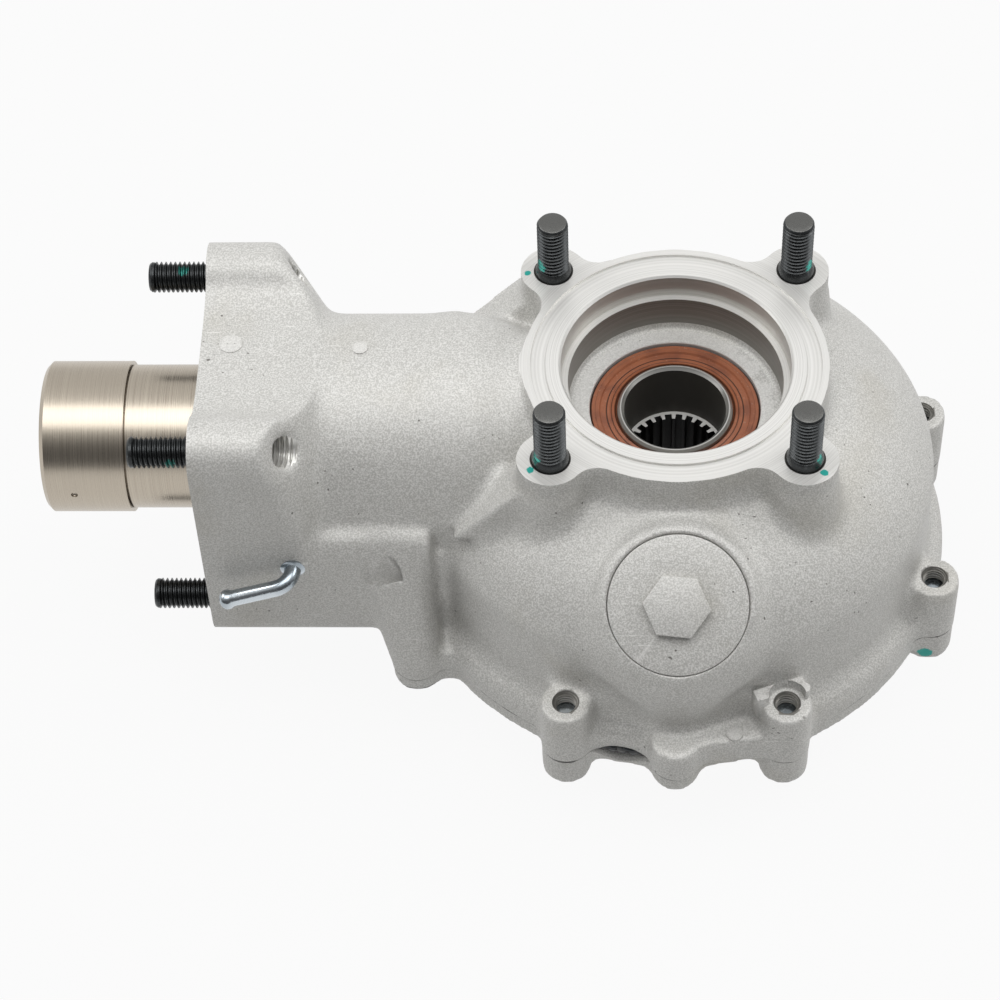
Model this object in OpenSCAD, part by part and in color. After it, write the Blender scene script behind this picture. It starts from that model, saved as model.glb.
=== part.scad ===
// Final drive differential with a spiral bevel gear pair and a splined axle hub.
// The origin is where the axle axis (Z) meets the pinion axis (X).
// +Z leaves through the studded axle flange, and -X leaves through the input coupling.

/* [Case] */
// Largest radius of the domed case wall
dome_r = 84; // [82:0.5:86]
// Height where the case wall starts to round over
dome_base_z = -10; // [-14:0.5:-6]
// Height where the rounded dome would close
dome_top_z = 36; // [32:0.5:38]
// Squareness of the dome curve
dome_power = 1.6; // [1.5:0.05:2]
// Thickness of the cast wall at its widest radius
wall = 8.5; // [6:0.5:9]
// Height of the joint face between the case and its side cover
parting_z = -52; // [-54:0.5:-50]
// Radius of the joint rim
rim_r = 89.7; // [88:0.1:91]
// Height of the joint rim on the case
rim_h = 7; // [5:0.5:9]
// Height of the cast ridge above the joint rim
ridge_h = 9; // [6:0.5:11]

/* [Cover bolts] */
// Radius of the circle that carries the evenly spaced cover bolts
lug_ring_r = 90.5; // [89.5:0.1:92]
// Radius of each bolt lug
lug_r = 8.2; // [7.6:0.1:9]
// Height of the open top of the bolt lugs
lug_top_z = -30; // [-34:0.5:-28]
// Distance of the two pinion side lugs behind the axle axis
side_lug_x = 83.5; // [82:0.5:85]
// Distance of the two pinion side lugs from the pinion axis
side_lug_y = 52; // [50.5:0.5:54]
// Thread diameter of the cover bolts
cover_bolt_d = 8; // [6:1:8]
// Thickness of the cover lugs
cover_lug_h = 12.5; // [11:0.5:14]
// Thickness of the two cover lugs beside the pinion tube
side_cover_lug_h = 4.5; // [4:0.5:6]

/* [Axle flange] */
// Height of the axle flange face above the pinion axis
axle_face_z = 36; // [34:0.5:40]
// Pitch circle of the axle flange studs
axle_stud_pcd = 110; // [106:1:114]
// Outer diameter of the machined flange ring
axle_ring_d = 96.2; // [94:0.2:98]
// Radius of the stud ears
axle_ear_r = 10.6; // [9.5:0.1:11.5]
// Diameter of the register bore
register_d = 72.4; // [70:0.2:74]
// Depth of the register bore
register_depth = 8.5; // [6:0.5:10]
// Diameter of the recess below the register
recess_d = 66; // [62:0.5:68]
// Inner diameter of the seal ring groove in the flange face
groove_d = 82; // [80:0.5:84]
// Width of the seal ring groove
groove_w = 4.8; // [3:0.2:5]
// Depth of the seal ring groove
groove_depth = 2; // [1:0.25:3]
// Thread diameter of the flange studs
stud_d = 10; // [8:1:10]
// Length of the axle studs above the flange face
axle_stud_free = 22.4; // [16:0.2:30]
// Distance from the parting face down to the lower axle flange face
cover_depth = 32; // [30:0.5:36]

/* [Splined hub] */
// Height of the hub's upper end
hub_top_z = 14; // [13:0.25:15]
// Height of the hub's lower end
hub_bottom_z = -67; // [-68:0.5:-66.5]
// Diameter of the hub where the seals run
seal_journal_d = 36.8; // [36:0.1:37.6]
// Diameter of the plain bore that the axle passes through
axle_bore_d = 32.5; // [31:0.1:33]
// Diameter between opposite spline valleys
spline_valley_d = 30.4; // [29:0.1:30.8]
// Diameter between opposite spline tips
spline_tip_d = 24.8; // [24:0.1:27]
// Number of internal spline teeth
spline_teeth = 26; // [20:1:30]
// Height of the spline's upper end
spline_top_z = -7.5; // [-12:0.5:-5]
// Height of the spline's lower end
spline_bottom_z = -42; // [-46:0.5:-36]

/* [Gears] */
// Teeth on the ring gear
ring_teeth = 41; // [39:2:43]
// Teeth on the pinion
pinion_teeth = 13; // [13:1:14]
// Pitch diameter of the ring gear at its outer end
ring_pitch_d = 135; // [132:0.5:136]
// Length of the teeth along the pitch cone
face_w = 20; // [16:0.5:22]
// Spiral angle at the middle of the teeth
spiral_angle = 33; // [0:1:36]
// Play between mating flanks
backlash = 0.5; // [0.3:0.05:0.8]
// Bore of the ring gear on the hub pilot
ring_bore_d = 80; // [76:0.5:82]
// Height of the ring gear's back face
ring_back_z = -36; // [-37:0.5:-35]
// Pitch circle of the ring gear bolts
ring_bolt_pcd = 104; // [100:1:106]
// Number of ring gear bolts
ring_bolts_n = 8; // [6:1:10]

/* [Hub bearings and seals] */
// Bore of the two hub bearings
hub_brg_bore = 40; // [39:0.5:41]
// Outer diameter of the hub bearings
hub_brg_od = 62; // [60:0.5:63]
// Width of the hub bearings
hub_brg_w = 12; // [10:0.5:13]
// Height of the upper hub bearing's top face
upper_brg_z = 4.5; // [4:0.25:5]
// Height of the lower hub bearing's top face
lower_brg_z = -46; // [-46.5:0.25:-45.5]
// Outer diameter of the axle seals
axle_seal_od = 54.4; // [52:0.2:56]
// Width of the axle seals
axle_seal_w = 7.5; // [6:0.25:8]

/* [Pinion side] */
// Distance of the pinion flange face from the axle axis
pinion_face_x = 149.5; // [146:0.5:154]
// Outer radius of the pinion tube
tube_r = 39.5; // [38:0.5:41]
// Half spacing of the four pinion flange studs
pinion_stud_half = 36.4; // [35:0.2:38]
// Radius of the pinion flange ears
pinion_ear_r = 11.2; // [10:0.1:12]
// Thickness of the pinion flange ears
pinion_ear_t = 30; // [26:0.5:32]
// Length of the pinion studs beyond the flange face
pinion_stud_free = 19.4; // [15:0.2:26]
// Height of the flat side webs above the pinion axis
web_top_z = 4; // [0:0.5:8]
// Bore of the two pinion bearings
pinion_brg_bore = 30; // [28:0.5:31]
// Outer diameter of the pinion bearings
pinion_brg_od = 62; // [60:0.5:63]
// Width of the pinion bearings
pinion_brg_w = 16; // [14:0.5:16]
// Distance of the inboard bearing's shoulder from the axle axis
pinion_brg_x = 77; // [76.5:0.25:79]
// Gap between the two pinion bearings
pinion_brg_gap = 17; // [14:0.5:18]
// Width of the threaded lock ring
lock_ring_w = 6; // [5:0.5:8]
// Width of the pinion oil seal
pinion_seal_w = 7.5; // [6:0.5:8]

/* [Input coupling] */
// Outer diameter of the coupling neck
neck_d = 46.4; // [45:0.2:47.4]
// Outer diameter of the coupling sleeve
sleeve_d = 48.8; // [48:0.2:51]
// Distance of the coupling's open end from the axle axis
coupling_end_x = 202; // [199:0.5:206]
// Length of the coupling sleeve
sleeve_len = 27; // [22:0.5:30]
// Width of the seam between sleeve and neck
seam_w = 0.5; // [0.3:0.1:1]
// Wall of the sleeve over the inner socket
sleeve_wall = 3; // [2:0.25:3.5]
// Diameter between opposite valleys of the socket spline
socket_valley_d = 34; // [31:0.5:36]
// Height of the socket spline teeth
socket_tooth_h = 2.2; // [1:0.1:3]
// Number of socket spline teeth
socket_teeth = 18; // [12:1:24]
// Depth of the socket
socket_depth = 40; // [34:0.5:42]

/* [Oil fittings] */
// Diameter of the oil filler cap
cap_d = 43.4; // [40:0.2:46]
// Thickness of the filler cap disc
cap_t = 4; // [3:0.25:5]
// Elevation of the filler cap's axis above the joint plane
cap_tilt = 50; // [46:1:54]
// Distance of the cap's face from the origin
cap_reach = 54; // [53:0.25:55.5]
// Distance that the cap lies down the slope from the point nearest the origin
cap_slide = 51.4; // [49:0.2:53]
// Thread diameter of the filler cap
cap_thread_d = 34; // [30:0.5:36]
// Hexagon of the filler cap across its flats
cap_hex = 19; // [17:1:22]
// Height of the cap's hexagon
cap_hex_h = 3; // [2:0.25:5]
// Thread diameter of the drain bolt
drain_d = 14; // [12:1:16]
// Height of the drain bolt's axis
drain_z = -29; // [-30:0.5:-28]
// Outer diameter of the breather tube
breather_d = 4; // [3.4:0.2:5]
// Distance of the breather's seat behind the axle axis
breather_x = 121.5; // [118:0.5:126]
// Height of the breather's seat
breather_z = -11; // [-16:0.5:-8]
// Length of the breather's free run
breather_run = 20; // [14:0.5:24]

/* [Fits] */
// Radial gap between seated round parts
fit_gap = 0.05; // [0.03:0.01:0.1]
// Radial gap round bolts and studs in their holes
thread_gap = 0.06; // [0.04:0.01:0.2]
// Gap between bearing balls and their tracks
ball_gap = 0.25; // [0.15:0.05:0.3]
// Thickness of the cover gasket
gasket_t = 0.5; // [0.3:0.1:1]

/* [Hidden] */
$fn = 96;
eps = 0.01;
web_inset = 0.25;

// Places that follow from the sizes above
axle_ring_r = axle_ring_d / 2;
axle_stud_c = axle_stud_pcd / 2 * cos(45);
cavity_r = dome_r - wall;
cavity_top_z = dome_top_z - 18;
cover_top_z = parting_z - gasket_t;
cover_face_z = parting_z - cover_depth;
cover_rim_h = 7;
cover_plate_top_z = cover_top_z - 2;
cover_plate_t = 8;
boss_r = hub_brg_od / 2 + 6;
upper_brg_bottom_z = upper_brg_z - hub_brg_w;
lower_brg_bottom_z = lower_brg_z - hub_brg_w;
recess_floor_z = hub_top_z;
cover_recess_z = hub_bottom_z;
axle_seal_r = axle_seal_od / 2;
seal_journal_r = seal_journal_d / 2;
lug_angles = [-112.5, -67.5, -22.5, 22.5, 67.5, 112.5];
plain_lobe_top_z = parting_z + 12;
lug_places = concat(
    [for (a = lug_angles) [lug_ring_r * cos(a), lug_ring_r * sin(a)]],
    [for (s = [-1, 1]) [-side_lug_x, s * side_lug_y]]
);
plain_lobes = [for (s = [-1, 1]) [0, s * lug_ring_r]];
stud_seat_r = stud_d / 2 - 0.5;
side_hole_depth = 15;

function cover_lug_height(i) = i < len(lug_angles) ? cover_lug_h : side_cover_lug_h;
function lug_hole_depth(i) = i < len(lug_angles) ? lug_top_z - parting_z : side_hole_depth;
dowel_r = 4;
dowel_len = 16;

// Gear geometry
gear_ratio = ring_teeth / pinion_teeth;
ring_pitch_r = ring_pitch_d / 2;
pinion_pitch_r = ring_pitch_r / gear_ratio;
ring_cone = atan(gear_ratio);
pinion_cone = 90 - ring_cone;
cone_r = ring_pitch_r / sin(ring_cone);
gear_module = ring_pitch_d / ring_teeth;
pressure_angle = 20;
profile_shift = 0.3;
pinion_addendum = gear_module * 0.98;
ring_addendum = gear_module * 0.5;
tooth_clearance = gear_module * 0.27;
gear_sections = 6;

// Pinion shaft places, measured along -X from the axle axis
inboard_end_x = pinion_brg_x + pinion_brg_w;
outboard_x = inboard_end_x + pinion_brg_gap;
outboard_end_x = outboard_x + pinion_brg_w;
lock_ring_end_x = outboard_end_x + lock_ring_w;
pinion_seal_x = pinion_face_x - 1 - pinion_seal_w;
pinion_brg_r = pinion_brg_od / 2;
shaft_r = pinion_brg_bore / 2;
spline_shaft_r = shaft_r - 3;
neck_end_x = coupling_end_x - sleeve_len - seam_w;
nut_h = 7;
washer_t = 2;
hub_floor_x = coupling_end_x - socket_depth - nut_h - washer_t - 3;
sleeve_inner_r = sleeve_d / 2 - sleeve_wall;

// Flange web outline and the filler cap frame
pinion_half = pinion_stud_half + pinion_ear_r;
web_end_x = 77;
web_round = 8;
cap_center_x = 0.2;
drain_reach = dome_r + 1.5;

// Draws its children with +Z turned to -X, so heights become distances from the axle axis
module along_pinion() {
    rotate([0, -90, 0]) children();
}

// Extrudes a drawing of the YZ plane from x0 to x1
module extrude_x(x0, x1) {
    translate([x0, 0, 0]) rotate([90, 0, 90]) linear_extrude(x1 - x0) children();
}

// Round ring between two heights
module ring(outer_r, inner_r, z0, z1) {
    difference() {
        translate([0, 0, z0]) cylinder(r = outer_r, h = z1 - z0);
        translate([0, 0, z0 - 1]) cylinder(r = inner_r, h = z1 - z0 + 2);
    }
}

// Repeats its children on the four corners of a square
module four_corners(c) {
    for (x = [-c, c]) for (y = [-c, c]) translate([x, y, 0]) children();
}

// Quarter of a rounded dome as radius and height pairs, from its base up to its top
function dome_curve(r, z0, z1, power, steps, low_r) = [
    for (i = [0 : steps])
        let (rr = r - (r - low_r) * pow(i / steps, 1.5))
        [rr, z0 + (z1 - z0) * pow(1 - pow(rr / r, power), 1 / power)]
];

// Case casting

module case_dome() {
    rotate_extrude() polygon(concat(
        [[0, parting_z], [rim_r, parting_z], [rim_r, parting_z + rim_h - 1.5],
         [rim_r - 0.6, parting_z + rim_h + 0.4], [rim_r - 1.8, parting_z + ridge_h],
         [rim_r - 3.2, parting_z + ridge_h + 1.1], [rim_r - 4.4, parting_z + ridge_h + 1.5],
         [dome_r + 0.5, parting_z + ridge_h + 2.2], [dome_r, parting_z + ridge_h + 5]],
        dome_curve(dome_r, dome_base_z, dome_top_z, dome_power, 16, axle_ring_r - 6),
        [[0, axle_face_z - 14]]
    ));
}

module case_cavity() {
    rotate_extrude() polygon(concat(
        [[0, parting_z - 1], [cavity_r, parting_z - 1], [cavity_r, dome_base_z - 2]],
        dome_curve(cavity_r, dome_base_z - 2, cavity_top_z, 1.8, 10, boss_r - 4),
        [[0, dome_base_z + 4]]
    ));
}

// Smooth skirt from the flange ring down to the dome
module flange_skirt() {
    skirt = 9;
    foot_z = axle_face_z - 20;
    rotate_extrude() polygon(concat(
        [[0, foot_z - 4], [axle_ring_r + skirt, foot_z - 4]],
        [for (a = [90 : -15 : 0])
            [axle_ring_r + skirt - skirt * cos(a), foot_z + skirt - skirt * sin(a)]],
        [[axle_ring_r - 1, axle_face_z - 4], [0, axle_face_z - 4]]
    ));
}

// Concave webs between the ring and its ears, a hair inside both
module axle_flange_outline() {
    offset(r = -9, $fn = 24) offset(delta = 9) union() {
        circle(r = axle_ring_r - web_inset, $fn = 48);
        four_corners(axle_stud_c) circle(r = axle_ear_r - web_inset, $fn = 32);
    }
}

module axle_flange_body() {
    translate([0, 0, axle_face_z - 23]) linear_extrude(23) axle_flange_outline();
    translate([0, 0, axle_face_z - 23]) cylinder(r = axle_ring_r, h = 23);
    four_corners(axle_stud_c) {
        translate([0, 0, dome_base_z]) cylinder(
            r1 = axle_ear_r + 4.5, r2 = axle_ear_r + 0.4, h = axle_face_z - 8 - dome_base_z);
        translate([0, 0, axle_face_z - 30]) cylinder(r = axle_ear_r, h = 30);
    }
    flange_skirt();
    // Fins from the two pinion side ears down to the tube
    for (s = [-1, 1]) {
        translate([0, s * axle_stud_c + 7, 0]) rotate([90, 0, 0]) linear_extrude(14) polygon([
            [-axle_stud_c, axle_face_z - 12], [-axle_stud_c - axle_ear_r, axle_face_z - 9],
            [-axle_stud_c - axle_ear_r - 21, dome_base_z + 14], [-axle_stud_c, dome_base_z + 14]
        ]);
    }
}

module lug_body(p, top_z) {
    a = atan2(p[1], p[0]);
    d = norm(p);
    // The neck behind the round lug stays a little lower than its face
    translate([p[0], p[1], parting_z]) cylinder(r = lug_r, h = top_z - parting_z);
    rotate([0, 0, a]) translate([dome_r - wall + 2, -lug_r, parting_z + 1])
        cube([d - dome_r + wall - 2, 2 * lug_r, top_z - parting_z - 1.8]);
}

// Flat shelf between the plain lobe and the lug beside it
module lug_shelf() {
    p = lug_places[1];
    translate([0, 0, parting_z + 1.5]) linear_extrude(plain_lobe_top_z - parting_z - 1.3) polygon([
        [8, -lug_ring_r + 11], [p[0] - 1, p[1] + 6], [p[0] - 1, p[1] - 7.4],
        [p[0] - 14, p[1] - 8.2], [7, -lug_ring_r - 3.6]
    ]);
}

// Joint rim with concave webs at every lug, a hair inside the round parts
module rim_outline(inset) {
    offset(r = -6, $fn = 24) offset(delta = 6) union() {
        circle(r = rim_r - inset, $fn = 72);
        for (p = lug_places) translate(p) circle(r = lug_r - inset, $fn = 24);
        for (p = plain_lobes) translate(p) circle(r = lug_r - inset, $fn = 24);
    }
}

module pinion_tube_body() {
    along_pinion() {
        translate([0, 0, 62]) cylinder(r = tube_r, h = pinion_face_x - 62);
        // The tube narrows where it runs in under the axle flange
        translate([0, 0, axle_ring_r - 8]) cylinder(
            r1 = axle_face_z - 4, r2 = tube_r, h = 62 - axle_ring_r + 8.5);
        // Low swelling where the tube leaves the dome
        translate([0, 0, 64]) cylinder(r1 = tube_r - 0.5, r2 = tube_r + 0.9, h = 6);
        translate([0, 0, 70]) cylinder(r1 = tube_r + 0.9, r2 = tube_r - 0.2, h = 11);
    }
}

module pinion_flange_outline() {
    h = pinion_half;
    c = pinion_stud_half;
    translate([-h, -c]) square([2 * h, 2 * c]);
    translate([-c, -h]) square([2 * c, h]);
    four_corners(c) circle(r = pinion_ear_r);
    // The hollows between the upper ears and the tube are shallow
    for (s = [-1, 1]) polygon([
        [s * (c - 2), c - 4], [s * (c - 9), c + 6.4], [s * (c - 14), c + 4.6],
        [s * (c - 22), c + 3.6], [0, c + 3.4], [0, c - 8]
    ]);
}

// Flange block whose upper ears fall away in a rounded slope behind the studs
module pinion_flange_body() {
    slope_x = pinion_face_x - pinion_ear_t - 9;
    intersection() {
        extrude_x(-pinion_face_x, -slope_x) pinion_flange_outline();
        along_pinion() rotate_extrude() polygon([
            [0, slope_x], [tube_r, slope_x], [tube_r + 1.6, slope_x + 1.6],
            [pinion_half * 1.24, slope_x + 14], [pinion_half * 1.31, slope_x + 16.7],
            [pinion_half * 1.36, slope_x + 21], [pinion_half * 1.5, pinion_face_x + 1],
            [0, pinion_face_x + 1]
        ]);
    }
}

module web_outline() {
    h = pinion_half;
    c = pinion_stud_half;
    translate([-h, -c]) square([2 * h, c + web_top_z - web_round]);
    translate([-c, -h]) square([2 * c, h]);
    for (s = [-1, 1]) {
        translate([s * c, -c]) circle(r = pinion_ear_r);
        translate([s * (h - web_round), web_top_z - web_round]) circle(r = web_round);
    }
    translate([-h + web_round, -c]) square([2 * (h - web_round), c + web_top_z]);
}

module side_webs() {
    extrude_x(-(pinion_face_x - 10), -web_end_x) web_outline();
    // The two side lugs taper up into columns that end in the web's outer face
    for (s = [-1, 1]) {
        hull() {
            translate([-side_lug_x, s * side_lug_y, parting_z]) cylinder(r = lug_r, h = 5);
            translate([-side_lug_x - 2, s * (pinion_half - 6.4), web_top_z - 14]) cylinder(r = 7.4, h = 4);
            translate([-side_lug_x - 14, s * (pinion_half - 3) - 2.6, web_top_z - 34]) cube([2, 5.2, 24]);
        }
        translate([-side_lug_x + 9, s * (pinion_half - 9.6), parting_z]) cylinder(
            r = 6.5, h = web_top_z - 11 - parting_z);
    }
}

// Turns +Z to the filler cap's axis, with the cap's face at height zero
module cap_frame() {
    translate([cap_center_x, -cap_reach * cos(cap_tilt), cap_reach * sin(cap_tilt)])
        translate([0, -cap_slide * sin(cap_tilt), -cap_slide * cos(cap_tilt)])
            rotate([90 - cap_tilt, 0, 0]) children();
}

module filler_pad() {
    cap_frame() {
        translate([0, 0, -cap_t - 12]) cylinder(
            r1 = cap_d / 2 + 13, r2 = cap_d / 2 + 2.4, h = cap_t + 12);
    }
}

module drain_boss() {
    translate([0, cavity_r + 2, drain_z]) rotate([-90, 0, 0])
        cylinder(r1 = drain_d / 2 + 6, r2 = drain_d / 2 + 4.5, h = drain_reach - cavity_r - 2);
}

module breather_pad() {
    translate([-breather_x - 5.5, -pinion_half - 0.6, breather_z - 2])
        cube([11, 3, 8]);
}

module ejector_marks() {
    translate([-99.2, 3, 0]) cylinder(r = 2.4, h = tube_r + 0.3);
    translate([-140, 4.5, 0]) cylinder(r = 3.9, h = tube_r + 0.8);
}

module case_holes() {
    // Register bore, recess, seal bore and bearing seat on the axle axis
    translate([0, 0, axle_face_z - register_depth])
        cylinder(r = register_d / 2, h = register_depth + 1);
    translate([0, 0, recess_floor_z + 1])
        cylinder(r = recess_d / 2, h = axle_face_z - recess_floor_z);
    translate([0, 0, recess_floor_z - 0.6])
        cylinder(r1 = axle_seal_r + fit_gap, r2 = recess_d / 2, h = 1.6);
    translate([0, 0, upper_brg_z - 1])
        cylinder(r = axle_seal_r + fit_gap, h = recess_floor_z - upper_brg_z + 2);
    translate([0, 0, dome_base_z - 10])
        cylinder(r = hub_brg_od / 2 + fit_gap, h = upper_brg_z - dome_base_z + 10);
    // Groove for the flange seal ring
    ring(groove_d / 2 + groove_w, groove_d / 2, axle_face_z - groove_depth, axle_face_z + 1);
    // Stud holes with wide mouths
    four_corners(axle_stud_c) {
        translate([0, 0, axle_face_z - stud_seat_depth])
            cylinder(r = stud_seat_r + thread_gap, h = stud_seat_depth + 1);
        translate([0, 0, axle_face_z - 1.8])
            cylinder(r1 = stud_seat_r, r2 = stud_d / 2 + 1.35, h = 1.85);
    }
    // Tapped holes right through the cover bolt lugs
    for (i = [0 : len(lug_places) - 1])
        translate([lug_places[i][0], lug_places[i][1], parting_z - 1]) cylinder(
            r = cover_bolt_d / 2 + thread_gap,
            h = lug_hole_depth(i) + (i < len(lug_angles) ? 2 : 1));
    // Spot face that cuts into the dome over one lug, and a pry notch beside the plain lobe
    translate([lug_places[1][0], lug_places[1][1], lug_top_z]) cylinder(r = lug_r + 0.7, h = 14);
    rotate([0, 0, -101]) translate([rim_r - 3.4, 0, parting_z - 8.6]) rotate([0, 90, 0])
        cylinder(r = 12.6, h = 14);
    for (p = plain_lobes) translate([p[0], p[1], parting_z - 1])
        cylinder(r = dowel_r + fit_gap, h = dowel_len / 2 + 1.5);
    // Pinion bore with a shoulder for the inboard bearing
    along_pinion() {
        translate([0, 0, 40]) cylinder(r = pinion_brg_r - 4, h = pinion_brg_x);
        translate([0, 0, pinion_brg_x])
            cylinder(r = pinion_brg_r + fit_gap, h = pinion_face_x - pinion_brg_x + 1);
        translate([0, 0, pinion_face_x - 1])
            cylinder(r1 = pinion_brg_r, r2 = pinion_brg_r + 1.5, h = 1.1);
    }
    extrude_x(-pinion_face_x - 1, -pinion_face_x + pinion_ear_t + 14)
        for (s = [-1, 1]) translate([s * pinion_stud_half, pinion_stud_half])
            circle(r = stud_seat_r + thread_gap);
    extrude_x(-pinion_face_x - 1, -pinion_face_x + pinion_ear_t)
        for (s = [-1, 1]) translate([s * pinion_stud_half, -pinion_stud_half])
            circle(r = stud_seat_r + thread_gap);
    along_pinion() four_corners(pinion_stud_half) translate([0, 0, pinion_face_x - 1.2])
        cylinder(r1 = stud_seat_r, r2 = stud_d / 2 + 0.75, h = 1.25);
    // Filler hole and the sunk seat of its cap
    cap_frame() {
        translate([0, 0, -cap_t]) cylinder(r = cap_d / 2 + 0.3, h = cap_t + 8);
        translate([0, 0, -60]) cylinder(r = cap_thread_d / 2 + thread_gap, h = 60);
        translate([0, 0, -cap_t - 1.8]) cylinder(r = cap_thread_d / 2 + 2.1, h = 2);
    }
    // Drain hole
    translate([0, cavity_r - 8, drain_z]) rotate([-90, 0, 0])
        cylinder(r = drain_d / 2 + thread_gap, h = drain_reach - cavity_r + 12);
    // Breather hole
    translate([-breather_x, -pinion_half - 2, breather_z]) rotate([-90, 0, 0])
        cylinder(r = breather_d / 2 + fit_gap, h = pinion_half - pinion_brg_r + 6);
}

stud_seat_depth = 20;

module main_case() {
    color("silver") difference() {
        union() {
            difference() {
                union() {
                    case_dome();
                    axle_flange_body();
                    translate([0, 0, parting_z]) linear_extrude(rim_h) rim_outline(web_inset);
                    for (i = [0 : len(lug_angles) - 1]) lug_body(lug_places[i], lug_top_z);
                    for (p = plain_lobes) lug_body(p, plain_lobe_top_z);
                    lug_shelf();
                    pinion_tube_body();
                    pinion_flange_body();
                    side_webs();
                    filler_pad();
                    drain_boss();
                    breather_pad();
                    ejector_marks();
                }
                case_cavity();
            }
            translate([0, 0, upper_brg_bottom_z]) cylinder(r = boss_r, h = 14 - upper_brg_bottom_z);
        }
        case_holes();
    }
}

// Side cover

module side_cover() {
    plate_bottom_z = cover_plate_top_z - cover_plate_t;
    color("silver") difference() {
        union() {
            translate([0, 0, cover_top_z - cover_rim_h]) linear_extrude(cover_rim_h)
                rim_outline(web_inset + 0.3);
            translate([0, 0, cover_top_z - cover_rim_h]) cylinder(r = rim_r - 0.3, h = cover_rim_h);
            // Spigot that centres the cover in the case
            ring(cavity_r - fit_gap, cavity_r - 4, cover_top_z - 3, cover_top_z + 4);
            rotate_extrude() polygon([
                [0, cover_plate_top_z], [rim_r - 8, cover_plate_top_z],
                [rim_r - 6, cover_top_z - cover_rim_h], [rim_r - 14, plate_bottom_z],
                [axle_ring_r + 6, plate_bottom_z - 2], [axle_ring_r + 1, plate_bottom_z - 6],
                [axle_ring_r, cover_face_z + 12], [axle_ring_r, cover_face_z], [0, cover_face_z]
            ]);
            translate([0, 0, cover_plate_top_z - 1]) cylinder(
                r = boss_r, h = lower_brg_z - cover_plate_top_z + 1);
            // Bolt lugs below the joint face
            for (i = [0 : len(lug_places) - 1])
                translate([lug_places[i][0], lug_places[i][1], cover_top_z - cover_lug_height(i)])
                    cylinder(r = lug_r - 0.2, h = cover_lug_height(i));
            // Stud ears on tall columns
            four_corners(axle_stud_c) translate([0, 0, cover_face_z])
                cylinder(r1 = axle_ear_r, r2 = axle_ear_r + 2, h = plate_bottom_z - cover_face_z + 1);
            translate([0, 0, cover_face_z]) linear_extrude(9) axle_flange_outline();
            // Radial stiffening ribs
            for (a = [0 : 45 : 315]) rotate([0, 0, a]) translate([0, 2.5, 0]) rotate([90, 0, 0])
                linear_extrude(5) polygon([
                    [axle_ring_r - 4, plate_bottom_z + 1], [rim_r - 7, plate_bottom_z + 1],
                    [rim_r - 12, plate_bottom_z - 2.5], [axle_ring_r - 4, cover_face_z + 10]
                ]);
        }
        // Register bore, recess, seal bore and bearing seat
        translate([0, 0, cover_face_z - 1]) cylinder(r = register_d / 2, h = register_depth + 1);
        translate([0, 0, cover_face_z]) cylinder(
            r = recess_d / 2, h = cover_recess_z - cover_face_z - 1);
        translate([0, 0, cover_recess_z - 1.05]) cylinder(
            r1 = recess_d / 2, r2 = axle_seal_r + fit_gap, h = 1.65);
        translate([0, 0, cover_recess_z - 1]) cylinder(
            r = axle_seal_r + fit_gap, h = lower_brg_bottom_z - cover_recess_z + 2);
        translate([0, 0, lower_brg_bottom_z]) cylinder(
            r = hub_brg_od / 2 + fit_gap, h = hub_brg_w + 20);
        ring(groove_d / 2 + groove_w, groove_d / 2, cover_face_z - 1, cover_face_z + groove_depth);
        four_corners(axle_stud_c) translate([0, 0, cover_face_z - 1])
            cylinder(r = stud_d / 2 + thread_gap, h = stud_seat_depth);
        for (i = [0 : len(lug_places) - 1])
            translate([lug_places[i][0], lug_places[i][1], cover_top_z - cover_lug_height(i)]) {
                translate([0, 0, -1]) cylinder(r = cover_bolt_d / 2 + 0.3, h = cover_lug_h + 4);
                translate([0, 0, -0.3]) cylinder(
                    r1 = cover_bolt_d / 2 + 3.4, r2 = cover_bolt_d / 2 + 0.2, h = 3.4);
            }
        for (p = plain_lobes) translate([p[0], p[1], cover_top_z - cover_rim_h + 1])
            cylinder(r = dowel_r + fit_gap, h = cover_rim_h);
    }
}

module cover_gasket() {
    color("dimgray") difference() {
        translate([0, 0, cover_top_z]) linear_extrude(gasket_t) rim_outline(web_inset + 0.5);
        translate([0, 0, cover_top_z - 1]) cylinder(r = cavity_r + 0.3, h = gasket_t + 2);
        for (p = lug_places) translate([p[0], p[1], cover_top_z - 1])
            cylinder(r = cover_bolt_d / 2 + 0.3, h = gasket_t + 2);
        for (p = plain_lobes) translate([p[0], p[1], cover_top_z - 1])
            cylinder(r = dowel_r + 0.2, h = gasket_t + 2);
    }
}

// Countersunk bolt with a hexagon socket, its head flush with z = 0 and its shank upwards
module flat_bolt(d, shank) {
    difference() {
        union() {
            cylinder(r = d / 2, h = shank - 1);
            translate([0, 0, shank - 1]) cylinder(r1 = d / 2, r2 = d / 2 - 0.8, h = 1);
            translate([0, 0, 0.1]) cylinder(r1 = d / 2 + 2.8, r2 = d / 2 - 0.1, h = 2.9);
        }
        translate([0, 0, -1]) cylinder(r = d * 0.36, h = 3.2, $fn = 6);
    }
}

module cover_bolts() {
    color("lightgray") for (i = [0 : len(lug_places) - 1]) {
        lug_h = cover_lug_height(i);
        translate([lug_places[i][0], lug_places[i][1], cover_top_z - lug_h])
            flat_bolt(cover_bolt_d, lug_h + gasket_t + lug_hole_depth(i) - 4.5);
    }
}

module dowel_pins() {
    color("lightgray") for (p = plain_lobes)
        translate([p[0], p[1], parting_z - dowel_len / 2 + 2]) cylinder(r = dowel_r, h = dowel_len - 3);
}

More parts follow.
